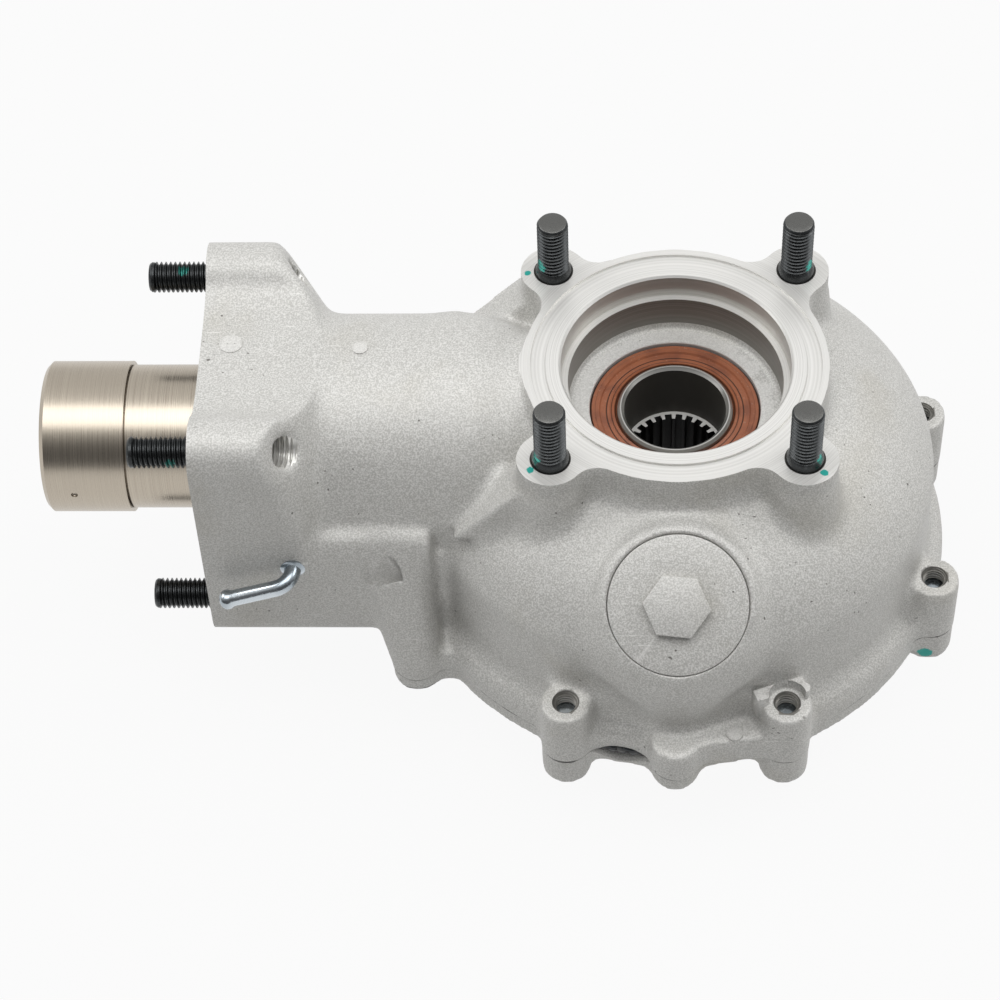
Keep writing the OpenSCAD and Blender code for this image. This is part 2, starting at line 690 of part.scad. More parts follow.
// Stud standing on z = 0, its seated end a little thinner
module stud(free) {
    translate([0, 0, -stud_seat_depth + 1]) cylinder(r = stud_seat_r, h = stud_seat_depth - 0.5);
    cylinder(r = stud_d / 2, h = free - 1);
    translate([0, 0, free - 1]) cylinder(r1 = stud_d / 2, r2 = stud_d / 2 - 0.9, h = 1);
}

module axle_flange_studs() {
    color("#2b2c2e") four_corners(axle_stud_c) translate([0, 0, axle_face_z]) stud(axle_stud_free);
}

module pinion_flange_studs() {
    color("#2b2c2e") along_pinion() four_corners(pinion_stud_half)
        translate([0, 0, pinion_face_x]) stud(pinion_stud_free);
}

// Seals

// Rubber coated seal between z0 and z1 whose lip rides on the given journal
module oil_seal(outer_r, journal_r, z0, z1) {
    rotate_extrude() polygon([
        [outer_r, z0], [outer_r, z1 - 0.6], [outer_r - 0.6, z1], [outer_r - 3, z1],
        [outer_r - 3.4, z1 - 0.7], [journal_r + 2.6, z1 - 0.7], [journal_r + 1, z1 - 0.2],
        [journal_r + 0.1, z1 - 1.4], [journal_r + 0.9, z1 - 2.6], [journal_r + 0.1, z1 - 4.2],
        [journal_r + 1.6, z0 + 0.6], [journal_r + 2.4, z0]
    ]);
}

module axle_seal_upper() {
    color("#8a4b33") oil_seal(axle_seal_r, seal_journal_r,
        hub_top_z - 0.8 - axle_seal_w, hub_top_z - 0.8);
}

module axle_seal_lower() {
    color("#8a4b33") translate([0, 0, 2 * hub_bottom_z]) mirror([0, 0, 1])
        oil_seal(axle_seal_r, seal_journal_r,
            hub_bottom_z - 0.8 - axle_seal_w, hub_bottom_z - 0.8);
}

// Bearings standing on z0

module outer_ring(od, bore, w, z0) {
    pitch_r = (od + bore) / 4;
    ball_r = (od - bore) / 2 * ball_share;
    rotate_extrude() difference() {
        translate([pitch_r + ball_r * 0.62, z0]) square([od / 2 - pitch_r - ball_r * 0.62, w]);
        translate([pitch_r, z0 + w / 2]) circle(r = ball_r + ball_gap);
    }
}

module inner_ring(od, bore, w, z0) {
    pitch_r = (od + bore) / 4;
    ball_r = (od - bore) / 2 * ball_share;
    rotate_extrude() difference() {
        translate([bore / 2 + fit_gap, z0])
            square([pitch_r - ball_r * 0.62 - bore / 2 - fit_gap, w]);
        translate([pitch_r, z0 + w / 2]) circle(r = ball_r + ball_gap);
    }
}

// Ball set with its pocketed cage
module ball_set(od, bore, w, z0, n) {
    pitch_r = (od + bore) / 4;
    ball_r = (od - bore) / 2 * ball_share;
    difference() {
        ring(pitch_r + ball_r * 0.34, pitch_r - ball_r * 0.34, z0 + w / 2 - ball_r * 1.25,
            z0 + w / 2 + ball_r * 1.25);
        for (i = [0 : n - 1]) rotate([0, 90, i * 360 / n])
            translate([-z0 - w / 2, 0, pitch_r - ball_r]) cylinder(r = ball_r + 0.15, h = 2 * ball_r);
    }
    for (i = [0 : n - 1]) rotate([0, 0, i * 360 / n])
        translate([pitch_r, 0, z0 + w / 2]) sphere(r = ball_r);
}

ball_share = 0.3;
hub_balls_n = 14;
pinion_balls_n = 11;

module hub_bearing_upper_outer_ring() {
    color("gainsboro") outer_ring(hub_brg_od, hub_brg_bore, hub_brg_w, upper_brg_bottom_z);
}

module hub_bearing_upper_inner_ring() {
    color("gainsboro") inner_ring(hub_brg_od, hub_brg_bore, hub_brg_w, upper_brg_bottom_z);
}

module hub_bearing_upper_balls() {
    color("white") ball_set(hub_brg_od, hub_brg_bore, hub_brg_w, upper_brg_bottom_z, hub_balls_n);
}

module hub_bearing_lower_outer_ring() {
    color("gainsboro") outer_ring(hub_brg_od, hub_brg_bore, hub_brg_w, lower_brg_bottom_z);
}

module hub_bearing_lower_inner_ring() {
    color("gainsboro") inner_ring(hub_brg_od, hub_brg_bore, hub_brg_w, lower_brg_bottom_z);
}

module hub_bearing_lower_balls() {
    color("white") ball_set(hub_brg_od, hub_brg_bore, hub_brg_w, lower_brg_bottom_z, hub_balls_n);
}

module pinion_bearing_inboard_outer_ring() {
    color("gainsboro") along_pinion()
        outer_ring(pinion_brg_od, pinion_brg_bore, pinion_brg_w, pinion_brg_x);
}

module pinion_bearing_inboard_inner_ring() {
    color("gainsboro") along_pinion()
        inner_ring(pinion_brg_od, pinion_brg_bore, pinion_brg_w, pinion_brg_x);
}

module pinion_bearing_inboard_balls() {
    color("white") along_pinion()
        ball_set(pinion_brg_od, pinion_brg_bore, pinion_brg_w, pinion_brg_x, pinion_balls_n);
}

module pinion_bearing_outboard_outer_ring() {
    color("gainsboro") along_pinion()
        outer_ring(pinion_brg_od, pinion_brg_bore, pinion_brg_w, outboard_x);
}

module pinion_bearing_outboard_inner_ring() {
    color("gainsboro") along_pinion()
        inner_ring(pinion_brg_od, pinion_brg_bore, pinion_brg_w, outboard_x);
}

module pinion_bearing_outboard_balls() {
    color("white") along_pinion()
        ball_set(pinion_brg_od, pinion_brg_bore, pinion_brg_w, outboard_x, pinion_balls_n);
}

module pinion_inner_spacer() {
    color("lightsteelblue") along_pinion()
        ring(shaft_r + 3.5, shaft_r + fit_gap, inboard_end_x, outboard_x);
}

module pinion_outer_spacer() {
    color("lightsteelblue") along_pinion()
        ring(pinion_brg_r, pinion_brg_r - 4, inboard_end_x, outboard_x);
}

module pinion_lock_ring() {
    color("slategray") along_pinion() difference() {
        ring(pinion_brg_r, neck_d / 2 + 1.2, outboard_end_x, lock_ring_end_x);
        for (a = [45 : 90 : 315]) rotate([0, 0, a]) translate([pinion_brg_r - 3.6, 0, lock_ring_end_x - 3])
            cylinder(r = 2, h = 4);
    }
}

module pinion_seal() {
    color("#3a3330") along_pinion() oil_seal(pinion_brg_r, neck_d / 2,
        pinion_seal_x, pinion_seal_x + pinion_seal_w);
}

// Ring gear and hub

// Internal spline drawing with straight sided teeth
module spline_outline(valley_r, tip_r, n) {
    step = 360 / n;
    polygon([for (i = [0 : n - 1]) for (k = [[-0.30, valley_r], [0.30, valley_r], [0.38, tip_r], [0.62, tip_r]])
        let (a = (i + k[0]) * step) [k[1] * cos(a), k[1] * sin(a)]]);
}

module splined_hub() {
    pilot_z = ring_back_z + 6;
    flange_t = 7;
    collar_r = hub_brg_bore / 2 + 3;
    color("darkgray") difference() {
        rotate_extrude() polygon([
            [axle_bore_d / 2 - 3, hub_bottom_z], [seal_journal_r - 0.8, hub_bottom_z],
            [seal_journal_r, hub_bottom_z + 0.8], [seal_journal_r, lower_brg_bottom_z],
            [hub_brg_bore / 2, lower_brg_bottom_z], [hub_brg_bore / 2, lower_brg_z],
            [collar_r, lower_brg_z], [collar_r + 2, ring_back_z - flange_t],
            [ring_bolt_pcd / 2 + 7, ring_back_z - flange_t], [ring_bolt_pcd / 2 + 7, ring_back_z],
            [ring_bore_d / 2 - fit_gap, ring_back_z], [ring_bore_d / 2 - fit_gap, pilot_z],
            [collar_r + 3, pilot_z + 2], [collar_r, pilot_z + 6], [collar_r, upper_brg_bottom_z],
            [hub_brg_bore / 2, upper_brg_bottom_z], [hub_brg_bore / 2, upper_brg_z],
            [seal_journal_r, upper_brg_z], [seal_journal_r, hub_top_z - 0.8],
            [seal_journal_r - 0.8, hub_top_z], [axle_bore_d / 2 - 3, hub_top_z]
        ]);
        translate([0, 0, spline_top_z]) cylinder(r = axle_bore_d / 2, h = hub_top_z - spline_top_z + 1);
        translate([0, 0, hub_top_z - 0.9]) cylinder(r1 = axle_bore_d / 2, r2 = axle_bore_d / 2 + 1, h = 1);
        translate([0, 0, hub_bottom_z - 1])
            cylinder(r = axle_bore_d / 2, h = spline_bottom_z - hub_bottom_z + 1);
        translate([0, 0, spline_bottom_z - 1]) linear_extrude(spline_top_z - spline_bottom_z + 2)
            spline_outline(spline_valley_d / 2, spline_tip_d / 2, spline_teeth);
        for (i = [0 : ring_bolts_n - 1]) rotate([0, 0, (i + 0.5) * 360 / ring_bolts_n])
            translate([ring_bolt_pcd / 2, 0, ring_back_z - flange_t - 1]) cylinder(r = 4.2, h = flange_t + 2);
    }
}

// Involute function in degrees
function inv(a) = tan(a) * 180 / PI - a;

// Half the angle that a tooth fills at radius r of the equivalent spur gear
function half_angle(r, pitch_r, half_thick) =
    let (base_r = pitch_r * cos(pressure_angle))
    half_thick / pitch_r * 180 / PI + inv(pressure_angle) - (r > base_r ? inv(acos(base_r / r)) : 0);

// Tooth outline as angle and radius pairs over one pitch, for a cone with n teeth
function tooth_pairs(n, cone, shift, add, ded, levels) =
    let (pitch_r = cone_r * tan(cone),
         half_thick = gear_module * (PI / 4 + shift * tan(pressure_angle)) - backlash / 4,
         radii = [for (i = [0 : levels]) pitch_r - ded + (add + ded) * i / levels],
         left = [for (r = radii) [-half_angle(r, pitch_r, half_thick) / cos(cone), r]],
         right = [for (i = [levels : -1 : 0]) [half_angle(radii[i], pitch_r, half_thick) / cos(cone), radii[i]]])
    concat(left, right);

function spiral_turn(r) =
    let (mid = cone_r - face_w / 2)
    tan(spiral_angle) / (mid * sin(ring_cone)) * 180 / PI * (r - mid);

// One loop of points round the gear, at distance r from the apex of its cone
function gear_loop(n, pairs, cone, r, turn) = [
    for (t = [0 : n - 1]) for (p = pairs)
        let (k = r / cone_r, rho = p[1] * k, a = t * 360 / n + p[0] + turn)
        [rho * cos(cone), a, r / cos(cone) - rho * sin(cone)]
];

ring_pairs = tooth_pairs(ring_teeth, ring_cone, -profile_shift,
    ring_addendum, pinion_addendum + tooth_clearance, 1);
pinion_pairs = tooth_pairs(pinion_teeth, pinion_cone, profile_shift,
    pinion_addendum, ring_addendum + tooth_clearance, 4);
section_r = [for (i = [0 : gear_sections - 1]) cone_r - face_w * i / (gear_sections - 1)];

function ring_point(q) = [q[0] * cos(q[1]), q[0] * sin(q[1]), -q[2]];
function pinion_point(q) = [-q[2], q[0] * sin(q[1]), -q[0] * cos(q[1])];

// Toothed ring as one closed skin: the tooth loops, then the bore and the back
module ring_teeth_body() {
    n = len(ring_pairs) * ring_teeth;
    loops = [for (r = section_r)
        gear_loop(ring_teeth, ring_pairs, ring_cone, r, 180 + 180 / ring_teeth + spiral_turn(r))];
    last = gear_sections - 1;
    heel = [for (q = loops[0]) [ring_pitch_r + 0.4, q[1], -ring_back_z - 4]];
    heel_low = [for (q = loops[0]) [ring_pitch_r - 1.6, q[1], -ring_back_z]];
    bore_low = [for (q = loops[last]) [ring_bore_d / 2 - 3, q[1], -ring_back_z]];
    bore_top = [for (q = loops[last]) [ring_bore_d / 2 - 3, q[1], -ring_back_z - 13]];
    rows = concat(loops, [bore_top, bore_low, heel_low, heel]);
    m = len(rows);
    polyhedron(
        points = [for (row = rows) for (q = row) ring_point(q)],
        faces = [for (i = [0 : m - 1]) for (j = [0 : n - 1])
            let (i2 = (i + 1) % m, j2 = (j + 1) % n, a = i * n + j, b = i * n + j2, c = i2 * n + j2, d = i2 * n + j)
            each [[a, d, b], [b, d, c]]],
        convexity = 8
    );
}

module ring_gear() {
    color("#6d6a66") difference() {
        ring_teeth_body();
        translate([0, 0, ring_back_z - 1]) cylinder(r = ring_bore_d / 2, h = 40);
        for (i = [0 : ring_bolts_n - 1]) rotate([0, 0, (i + 0.5) * 360 / ring_bolts_n])
            translate([ring_bolt_pcd / 2, 0, ring_back_z - 1]) cylinder(r = 4 + thread_gap, h = 10);
    }
}

module ring_gear_bolts() {
    color("dimgray") for (i = [0 : ring_bolts_n - 1]) rotate([0, 0, (i + 0.5) * 360 / ring_bolts_n])
        translate([ring_bolt_pcd / 2, 0, ring_back_z - 7]) {
            cylinder(r = 4, h = 14);
            translate([0, 0, -5]) cylinder(r = 6.5, h = 5);
        }
}

// Pinion and its shaft

module pinion_teeth_body() {
    n = len(pinion_pairs) * pinion_teeth;
    loops = [for (r = section_r)
        gear_loop(pinion_teeth, pinion_pairs, pinion_cone, r, -gear_ratio * spiral_turn(r))];
    heel = [[-cone_r * cos(pinion_cone), 0, 0]];
    toe = [[-(cone_r - face_w) * cos(pinion_cone), 0, 0]];
    m = gear_sections;
    polyhedron(
        points = concat([for (row = loops) for (q = row) pinion_point(q)], heel, toe),
        faces = concat(
            [for (i = [0 : m - 2]) for (j = [0 : n - 1])
                let (j2 = (j + 1) % n, a = i * n + j, b = i * n + j2, c = (i + 1) * n + j2, d = (i + 1) * n + j)
                each [[a, d, b], [b, d, c]]],
            [for (j = [0 : n - 1]) [m * n, j, (j + 1) % n]],
            [for (j = [0 : n - 1]) [m * n + 1, (m - 1) * n + (j + 1) % n, (m - 1) * n + j]]
        ),
        convexity = 8
    );
}

module pinion_shaft() {
    head_x = cone_r * cos(pinion_cone);
    color("#6d6a66") union() {
        pinion_teeth_body();
        along_pinion() {
            translate([0, 0, head_x - 6]) cylinder(r = pinion_pitch_r - 5, h = pinion_brg_x - head_x + 6);
            translate([0, 0, head_x - 6]) cylinder(r = shaft_r, h = outboard_end_x - head_x + 6);
            translate([0, 0, outboard_end_x - 1]) cylinder(
                r = spline_shaft_r, h = hub_floor_x + washer_t + nut_h + 3 - outboard_end_x);
        }
    }
}

// Input coupling

module coupling_hub() {
    bore_r = spline_shaft_r + fit_gap;
    color("#8d857b") along_pinion() difference() {
        union() {
            translate([0, 0, outboard_end_x]) cylinder(r = shaft_r + 4, h = 8);
            translate([0, 0, outboard_end_x + 1]) cylinder(r = neck_d / 2, h = neck_end_x - outboard_end_x - 1);
            translate([0, 0, neck_end_x - 1]) cylinder(
                r = sleeve_inner_r - fit_gap, h = coupling_end_x - 1 - neck_end_x);
        }
        translate([0, 0, outboard_end_x - 1]) cylinder(r = bore_r, h = hub_floor_x - outboard_end_x + 2);
        translate([0, 0, hub_floor_x]) cylinder(r = nut_room_r, h = coupling_end_x - hub_floor_x);
        translate([0, 0, coupling_end_x - 2 - socket_teeth_len]) linear_extrude(socket_teeth_len + 4)
            spline_outline(socket_valley_d / 2, socket_valley_d / 2 - socket_tooth_h, socket_teeth);
        translate([0, 0, coupling_end_x - 4]) cylinder(
            r1 = socket_valley_d / 2 - 1, r2 = socket_valley_d / 2 + 1.4, h = 2.4);
    }
}

nut_room_r = socket_valley_d / 2 - socket_tooth_h;
socket_teeth_len = 24;

module coupling_sleeve() {
    color("#9a9288") along_pinion() difference() {
        union() {
            translate([0, 0, coupling_end_x - sleeve_len]) cylinder(r = sleeve_d / 2, h = sleeve_len - 1.4);
            translate([0, 0, coupling_end_x - 1.4]) cylinder(r1 = sleeve_d / 2, r2 = sleeve_d / 2 - 1.4, h = 1.4);
        }
        translate([0, 0, coupling_end_x - sleeve_len - 1]) cylinder(r = sleeve_inner_r, h = sleeve_len + 2);
        // Balance dimple
        translate([0, -sleeve_d / 2, coupling_end_x - 10]) sphere(r = 1.1);
    }
}

module pinion_washer() {
    color("lightgray") along_pinion()
        ring(nut_room_r - 1, spline_shaft_r + fit_gap, hub_floor_x, hub_floor_x + washer_t);
}

module pinion_nut() {
    color("lightgray") along_pinion() difference() {
        translate([0, 0, hub_floor_x + washer_t]) cylinder(r = nut_room_r - 0.8, h = nut_h, $fn = 6);
        translate([0, 0, hub_floor_x]) cylinder(r = spline_shaft_r + fit_gap, h = nut_h + washer_t + 1);
    }
}

// Oil fittings

module oil_filler_cap() {
    color("silver") cap_frame() {
        translate([0, 0, -cap_t]) cylinder(r = cap_d / 2, h = cap_t - 0.6);
        translate([0, 0, -0.6 - eps]) cylinder(r1 = cap_d / 2, r2 = cap_d / 2 - 0.6, h = 0.6 + eps);
        translate([0, 0, -cap_t - 12]) cylinder(r = cap_thread_d / 2 - 0.1, h = 13);
        rotate([0, 0, 3]) translate([0, 0, -eps]) cylinder(r = cap_hex / 2 / cos(30), h = cap_hex_h, $fn = 6);
    }
}

module filler_cap_oring() {
    color("black") cap_frame() translate([0, 0, -cap_t - 0.9]) rotate_extrude()
        translate([cap_thread_d / 2 + 1.2, 0]) circle(r = 0.85);
}

module drain_bolt() {
    seat = drain_reach + drain_washer_t;
    color("lightgray") translate([0, 0, drain_z]) rotate([-90, 0, 0]) {
        translate([0, 0, cavity_r + 1]) cylinder(r = drain_d / 2, h = seat - cavity_r - 1);
        difference() {
            union() {
                translate([0, 0, seat]) cylinder(r = drain_d / 2 + 3.4, h = 2);
                translate([0, 0, seat + 1]) cylinder(r = drain_d / 2 + 1, h = 3.5);
            }
            translate([0, 0, seat + 0.5]) cylinder(r = drain_d / 3, h = 5, $fn = 6);
        }
    }
}

drain_washer_t = 1.5;

module drain_washer() {
    color("orange") translate([0, 0, drain_z]) rotate([-90, 0, 0])
        ring(drain_d / 2 + 4, drain_d / 2 + 0.3, drain_reach, drain_reach + drain_washer_t);
}

// Bent breather tube: seat, elbow and free run with a rounded nose
module breather_tube() {
    r = breather_d / 2;
    bend = 5;
    slope = 19;
    face_y = pinion_half + 0.6;
    color("#c9ced2") translate([-breather_x, 0, breather_z]) rotate([0, -slope, 0]) {
        translate([0, -face_y - 1.6, 0]) rotate([-90, 0, 0]) cylinder(r = r, h = 13);
        translate([0, -face_y - 1.6, 0]) rotate([-90, 0, 0]) cylinder(r = r + 1.4, h = 1.6);
        translate([-bend, -face_y - 1.6, 0]) rotate([0, 0, -90]) rotate_extrude(angle = 90)
            translate([bend, 0]) circle(r = r);
        translate([-bend, -face_y - 1.6 - bend, 0]) rotate([0, -90, 0]) cylinder(r = r, h = breather_run - bend);
        translate([-breather_run + 0.6, -face_y - 1.6 - bend, 0]) sphere(r = r + 0.6);
    }
}

main_case();
side_cover();
cover_gasket();
cover_bolts();
dowel_pins();
axle_flange_studs();
pinion_flange_studs();
axle_seal_upper();
axle_seal_lower();
hub_bearing_upper_outer_ring();
hub_bearing_upper_inner_ring();
hub_bearing_upper_balls();
hub_bearing_lower_outer_ring();
hub_bearing_lower_inner_ring();
hub_bearing_lower_balls();
splined_hub();
ring_gear();
ring_gear_bolts();
pinion_shaft();
pinion_bearing_inboard_outer_ring();
pinion_bearing_inboard_inner_ring();
pinion_bearing_inboard_balls();
pinion_bearing_outboard_outer_ring();
pinion_bearing_outboard_inner_ring();
pinion_bearing_outboard_balls();
pinion_inner_spacer();
pinion_outer_spacer();
pinion_lock_ring();
pinion_seal();
coupling_hub();
coupling_sleeve();
pinion_washer();
pinion_nut();
oil_filler_cap();
filler_cap_oring();
drain_bolt();
drain_washer();
breather_tube();
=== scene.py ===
import math
import bmesh
import bpy
import numpy as np
from mathutils import Matrix, Vector


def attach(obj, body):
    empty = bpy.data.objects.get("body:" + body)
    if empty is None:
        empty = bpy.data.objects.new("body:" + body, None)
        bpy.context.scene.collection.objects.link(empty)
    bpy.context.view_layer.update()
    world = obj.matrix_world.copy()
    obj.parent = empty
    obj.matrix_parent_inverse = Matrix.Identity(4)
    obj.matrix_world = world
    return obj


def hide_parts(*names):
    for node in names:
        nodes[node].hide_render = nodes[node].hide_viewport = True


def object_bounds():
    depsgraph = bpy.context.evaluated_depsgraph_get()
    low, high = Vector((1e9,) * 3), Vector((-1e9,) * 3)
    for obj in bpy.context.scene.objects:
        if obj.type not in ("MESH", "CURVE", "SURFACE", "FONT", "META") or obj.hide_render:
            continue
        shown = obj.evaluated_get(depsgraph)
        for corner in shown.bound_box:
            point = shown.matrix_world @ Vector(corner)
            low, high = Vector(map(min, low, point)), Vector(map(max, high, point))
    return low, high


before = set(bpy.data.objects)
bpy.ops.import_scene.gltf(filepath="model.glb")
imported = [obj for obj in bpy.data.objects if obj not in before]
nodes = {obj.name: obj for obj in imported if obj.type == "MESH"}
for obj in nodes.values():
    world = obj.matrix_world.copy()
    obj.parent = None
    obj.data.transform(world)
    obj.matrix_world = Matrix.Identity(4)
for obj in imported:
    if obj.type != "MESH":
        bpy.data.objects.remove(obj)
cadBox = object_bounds()
mm = 0.001
print("frame loaded with", len(nodes), "nodes")


def linear(hexText):
    parts = [int(hexText[i:i + 2], 16) / 255 for i in (1, 3, 5)]
    return (*[c / 12.92 if c <= 0.04045 else ((c + 0.055) / 1.055) ** 2.4 for c in parts], 1.0)


def addNode(tree, kind, inputs=None, **settings):
    # an input is a value, a socket, or a node whose first live output is meant
    node = tree.nodes.new("ShaderNode" + kind)
    for key, value in settings.items():
        setattr(node, key, value)
    for key, value in (inputs or {}).items():
        if isinstance(value, bpy.types.Node):
            value = [o for o in value.outputs if o.enabled][0]
        if isinstance(value, bpy.types.NodeSocket):
            tree.links.new(value, node.inputs[key])
        else:
            node.inputs[key].default_value = value
    return node


def newMaterial(name):
    material = bpy.data.materials.new(name)
    material.use_nodes = True
    tree = material.node_tree
    tree.nodes.clear()
    coords = addNode(tree, "TexCoord").outputs["Object"]
    return material, tree, coords


smooth = {"interpolation_type": "SMOOTHSTEP"}


def blobs(tree, coords, sizeMm, low, high, detail=2.0, rough=0.5):
    # soft patches about sizeMm across, which come up where the noise goes from low to high
    cloud = addNode(tree, "TexNoise", {"Vector": coords, "Scale": 1 / (sizeMm * mm), "Detail": detail,
                                       "Roughness": rough})
    return addNode(tree, "MapRange", {0: cloud, 1: low, 2: high}, **smooth)


def layered(tree, colour, layers):
    # tints laid over a colour one after another: a mask, how far it covers, and the tint
    for mask, cover, tint in layers:
        amount = addNode(tree, "Math", {0: mask, 1: cover}, operation="MULTIPLY")
        colour = addNode(tree, "Mix", {0: amount, 6: colour, 7: linear(tint)}, data_type="RGBA")
    return colour


def radiusFrom(tree, across, other):
    squares = [addNode(tree, "Math", {0: side, 1: 2}, operation="POWER") for side in (across, other)]
    both = addNode(tree, "Math", {0: squares[0], 1: squares[1]}, operation="ADD")
    return addNode(tree, "Math", {0: both}, operation="SQRT")


def distanceFrom(tree, value, level):
    below = addNode(tree, "Math", {0: value, 1: level}, operation="SUBTRACT")
    return addNode(tree, "Math", {0: below}, operation="ABSOLUTE")


def finishMaterial(tree, colour, roughness, height, bumpMm, metallic):
    bump = addNode(tree, "Bump", {"Height": height, "Distance": bumpMm * mm, "Strength": 1.0})
    shader = addNode(tree, "BsdfPrincipled", {"Base Color": colour, "Roughness": roughness,
                                              "Metallic": metallic, "Normal": bump})
    addNode(tree, "OutputMaterial", {"Surface": shader})


def paintMask(tree, coords, dots):
    # dabs of marking paint: each is a point in mm and a radius in mm
    ragged = addNode(tree, "TexNoise", {"Vector": coords, "Scale": 1 / (1.6 * mm), "Detail": 3})
    mask = 0.0
    for x, y, z, radius in dots:
        far = addNode(tree, "VectorMath", {0: coords, 1: (x * mm, y * mm, z * mm)}, operation="DISTANCE")
        wobble = addNode(tree, "Math", {0: ragged, 1: radius * mm * 1.1}, operation="MULTIPLY")
        edge = addNode(tree, "Math", {0: far, 1: wobble}, operation="ADD")
        dab = addNode(tree, "MapRange", {0: edge, 1: radius * mm * 1.6, 2: radius * mm * 1.35}, **smooth)
        mask = addNode(tree, "Math", {0: dab, 1: mask}, operation="MAXIMUM")
    return mask


castLook = {
    "base": "#C7C6C2",
    "light": "#DAD9D6",
    "dark": "#ACABA7",
    "stain": "#A0977F",
    "pit": "#5A5752",
    "worn": "#E4E3E0",
    "sunk": "#8B8984",
    "scratch": "#F0EFEC",
    # painted shade for the creases and inner corners
    "grainMm": 0.5,  # shot dents, drawn somewhat coarser than real ones so that they show
    "pebbleMm": 1.4,
    "roughness": 0.55,
    "metallic": 0.32,
    "bumpMm": 0.10,
    "scratchTurns": [(0.4, 0.9, 0.6), (1.3, -0.5, 1.9), (-0.7, 0.3, -1.1)],
}
paintColour = "#2BA79C"
castPaint = [(9.1, -56.5, 18.2, 1.3), (82.2, -42.5, -61.1, 2.6)]
flangePaint = [(-45.0, -43.3, 36, 1.3), (44.6, -44.5, 36, 1.3), (-47.1, 38.0, 36, 1.1)]
# dark line along the joint: partly sealing paste, partly painted shade of the crease between case and cover
jointPasteAndShade = {"height": -52.25, "half": 0.42, "colour": "#33312E"}


def castAluminium():
    # Sand cast aluminium, shot blasted: an even matt grey with a fine sparkle, a few stains and pits; the
    # creases carry painted shade, and the joint line carries sealing paste with painted shade
    look = castLook
    material, tree, coords = newMaterial("shotBlastedCastAluminium")
    grain = addNode(tree, "TexNoise", {"Vector": coords, "Scale": 1 / (look["grainMm"] * mm),
                                       "Roughness": 0.6})
    pebble = addNode(tree, "TexNoise", {"Vector": coords, "Scale": 1 / (look["pebbleMm"] * mm), "Detail": 3,
                                        "Roughness": 0.55})
    pointiness = addNode(tree, "NewGeometry").outputs["Pointiness"]
    worn = addNode(tree, "MapRange", {0: pointiness, 1: 0.515, 2: 0.60}, **smooth)
    # painted shade: where pointiness is low, the creases and inner corners are painted darker
    sunk = addNode(tree, "MapRange", {0: pointiness, 1: 0.49, 2: 0.42}, **smooth)
    tone = addNode(tree, "MapRange", {0: grain, 1: 0.38, 2: 0.64}, **smooth)
    specks = blobs(tree, coords, 1.3, 0.80, 0.86, 0)
    pits = addNode(tree, "Math", {0: specks, 1: blobs(tree, coords, 26, 0.5, 0.62, 1)}, operation="MULTIPLY")
    # hairline scratches lying three ways, here and there
    hairs = 0.0
    for turn in look["scratchTurns"]:
        turned = addNode(tree, "Mapping", {"Vector": coords, "Rotation": turn, "Scale": (0.05, 1, 1)})
        hair = blobs(tree, turned, 0.45, 0.79, 0.84, 0)
        hairs = addNode(tree, "Math", {0: hair, 1: hairs}, operation="MAXIMUM")
    hairs = addNode(tree, "Math", {0: hairs, 1: blobs(tree, coords, 15, 0.5, 0.62, 1)}, operation="MULTIPLY")
    # sealing paste that has squeezed out of the joint, here more and there less, with the painted shade of
    # the joint's crease laid into the same dark line
    level = addNode(tree, "SeparateXYZ", {0: coords}).outputs[2]
    away = distanceFrom(tree, level, jointPasteAndShade["height"] * mm)
    pasteAndShadeSpread = addNode(tree, "Math", {0: blobs(tree, coords, 9, 0.36, 0.66), 1: jointPasteAndShade["half"] * mm},
                    operation="MULTIPLY")
    outer, inner = [addNode(tree, "Math", {0: pasteAndShadeSpread, 1: more * mm}, operation="ADD") for more in (0.16, 0.04)]
    pasteAndCreaseShade = addNode(tree, "MapRange", {0: away, 1: outer, 2: inner}, **smooth)
    colour = layered(tree, linear(look["dark"]), [
        (tone, 1, look["light"]),
        (1, 0.25, look["base"]),
        (blobs(tree, coords, 38, 0.54, 0.74, 3), 0.16, look["stain"]),
        (worn, 0.4, look["worn"]),
        (sunk, 0.3, look["sunk"]),
        (pits, 0.8, look["pit"]),
        (hairs, 0.45, look["scratch"]),
        (pasteAndCreaseShade, 1, jointPasteAndShade["colour"]),
        (paintMask(tree, coords, castPaint), 1, paintColour),
    ])
    roughness = addNode(tree, "MapRange", {0: grain, 1: 0.2, 2: 0.8, 3: look["roughness"] - 0.06,
                                           4: look["roughness"] + 0.08}, **smooth)
    height = addNode(tree, "Math", {0: grain, 1: 0.55, 2: pebble}, operation="MULTIPLY_ADD")
    height = addNode(tree, "Math", {0: pits, 1: -1.5, 2: height}, operation="MULTIPLY_ADD")
    finishMaterial(tree, colour, roughness, height, look["bumpMm"], look["metallic"])
    return material


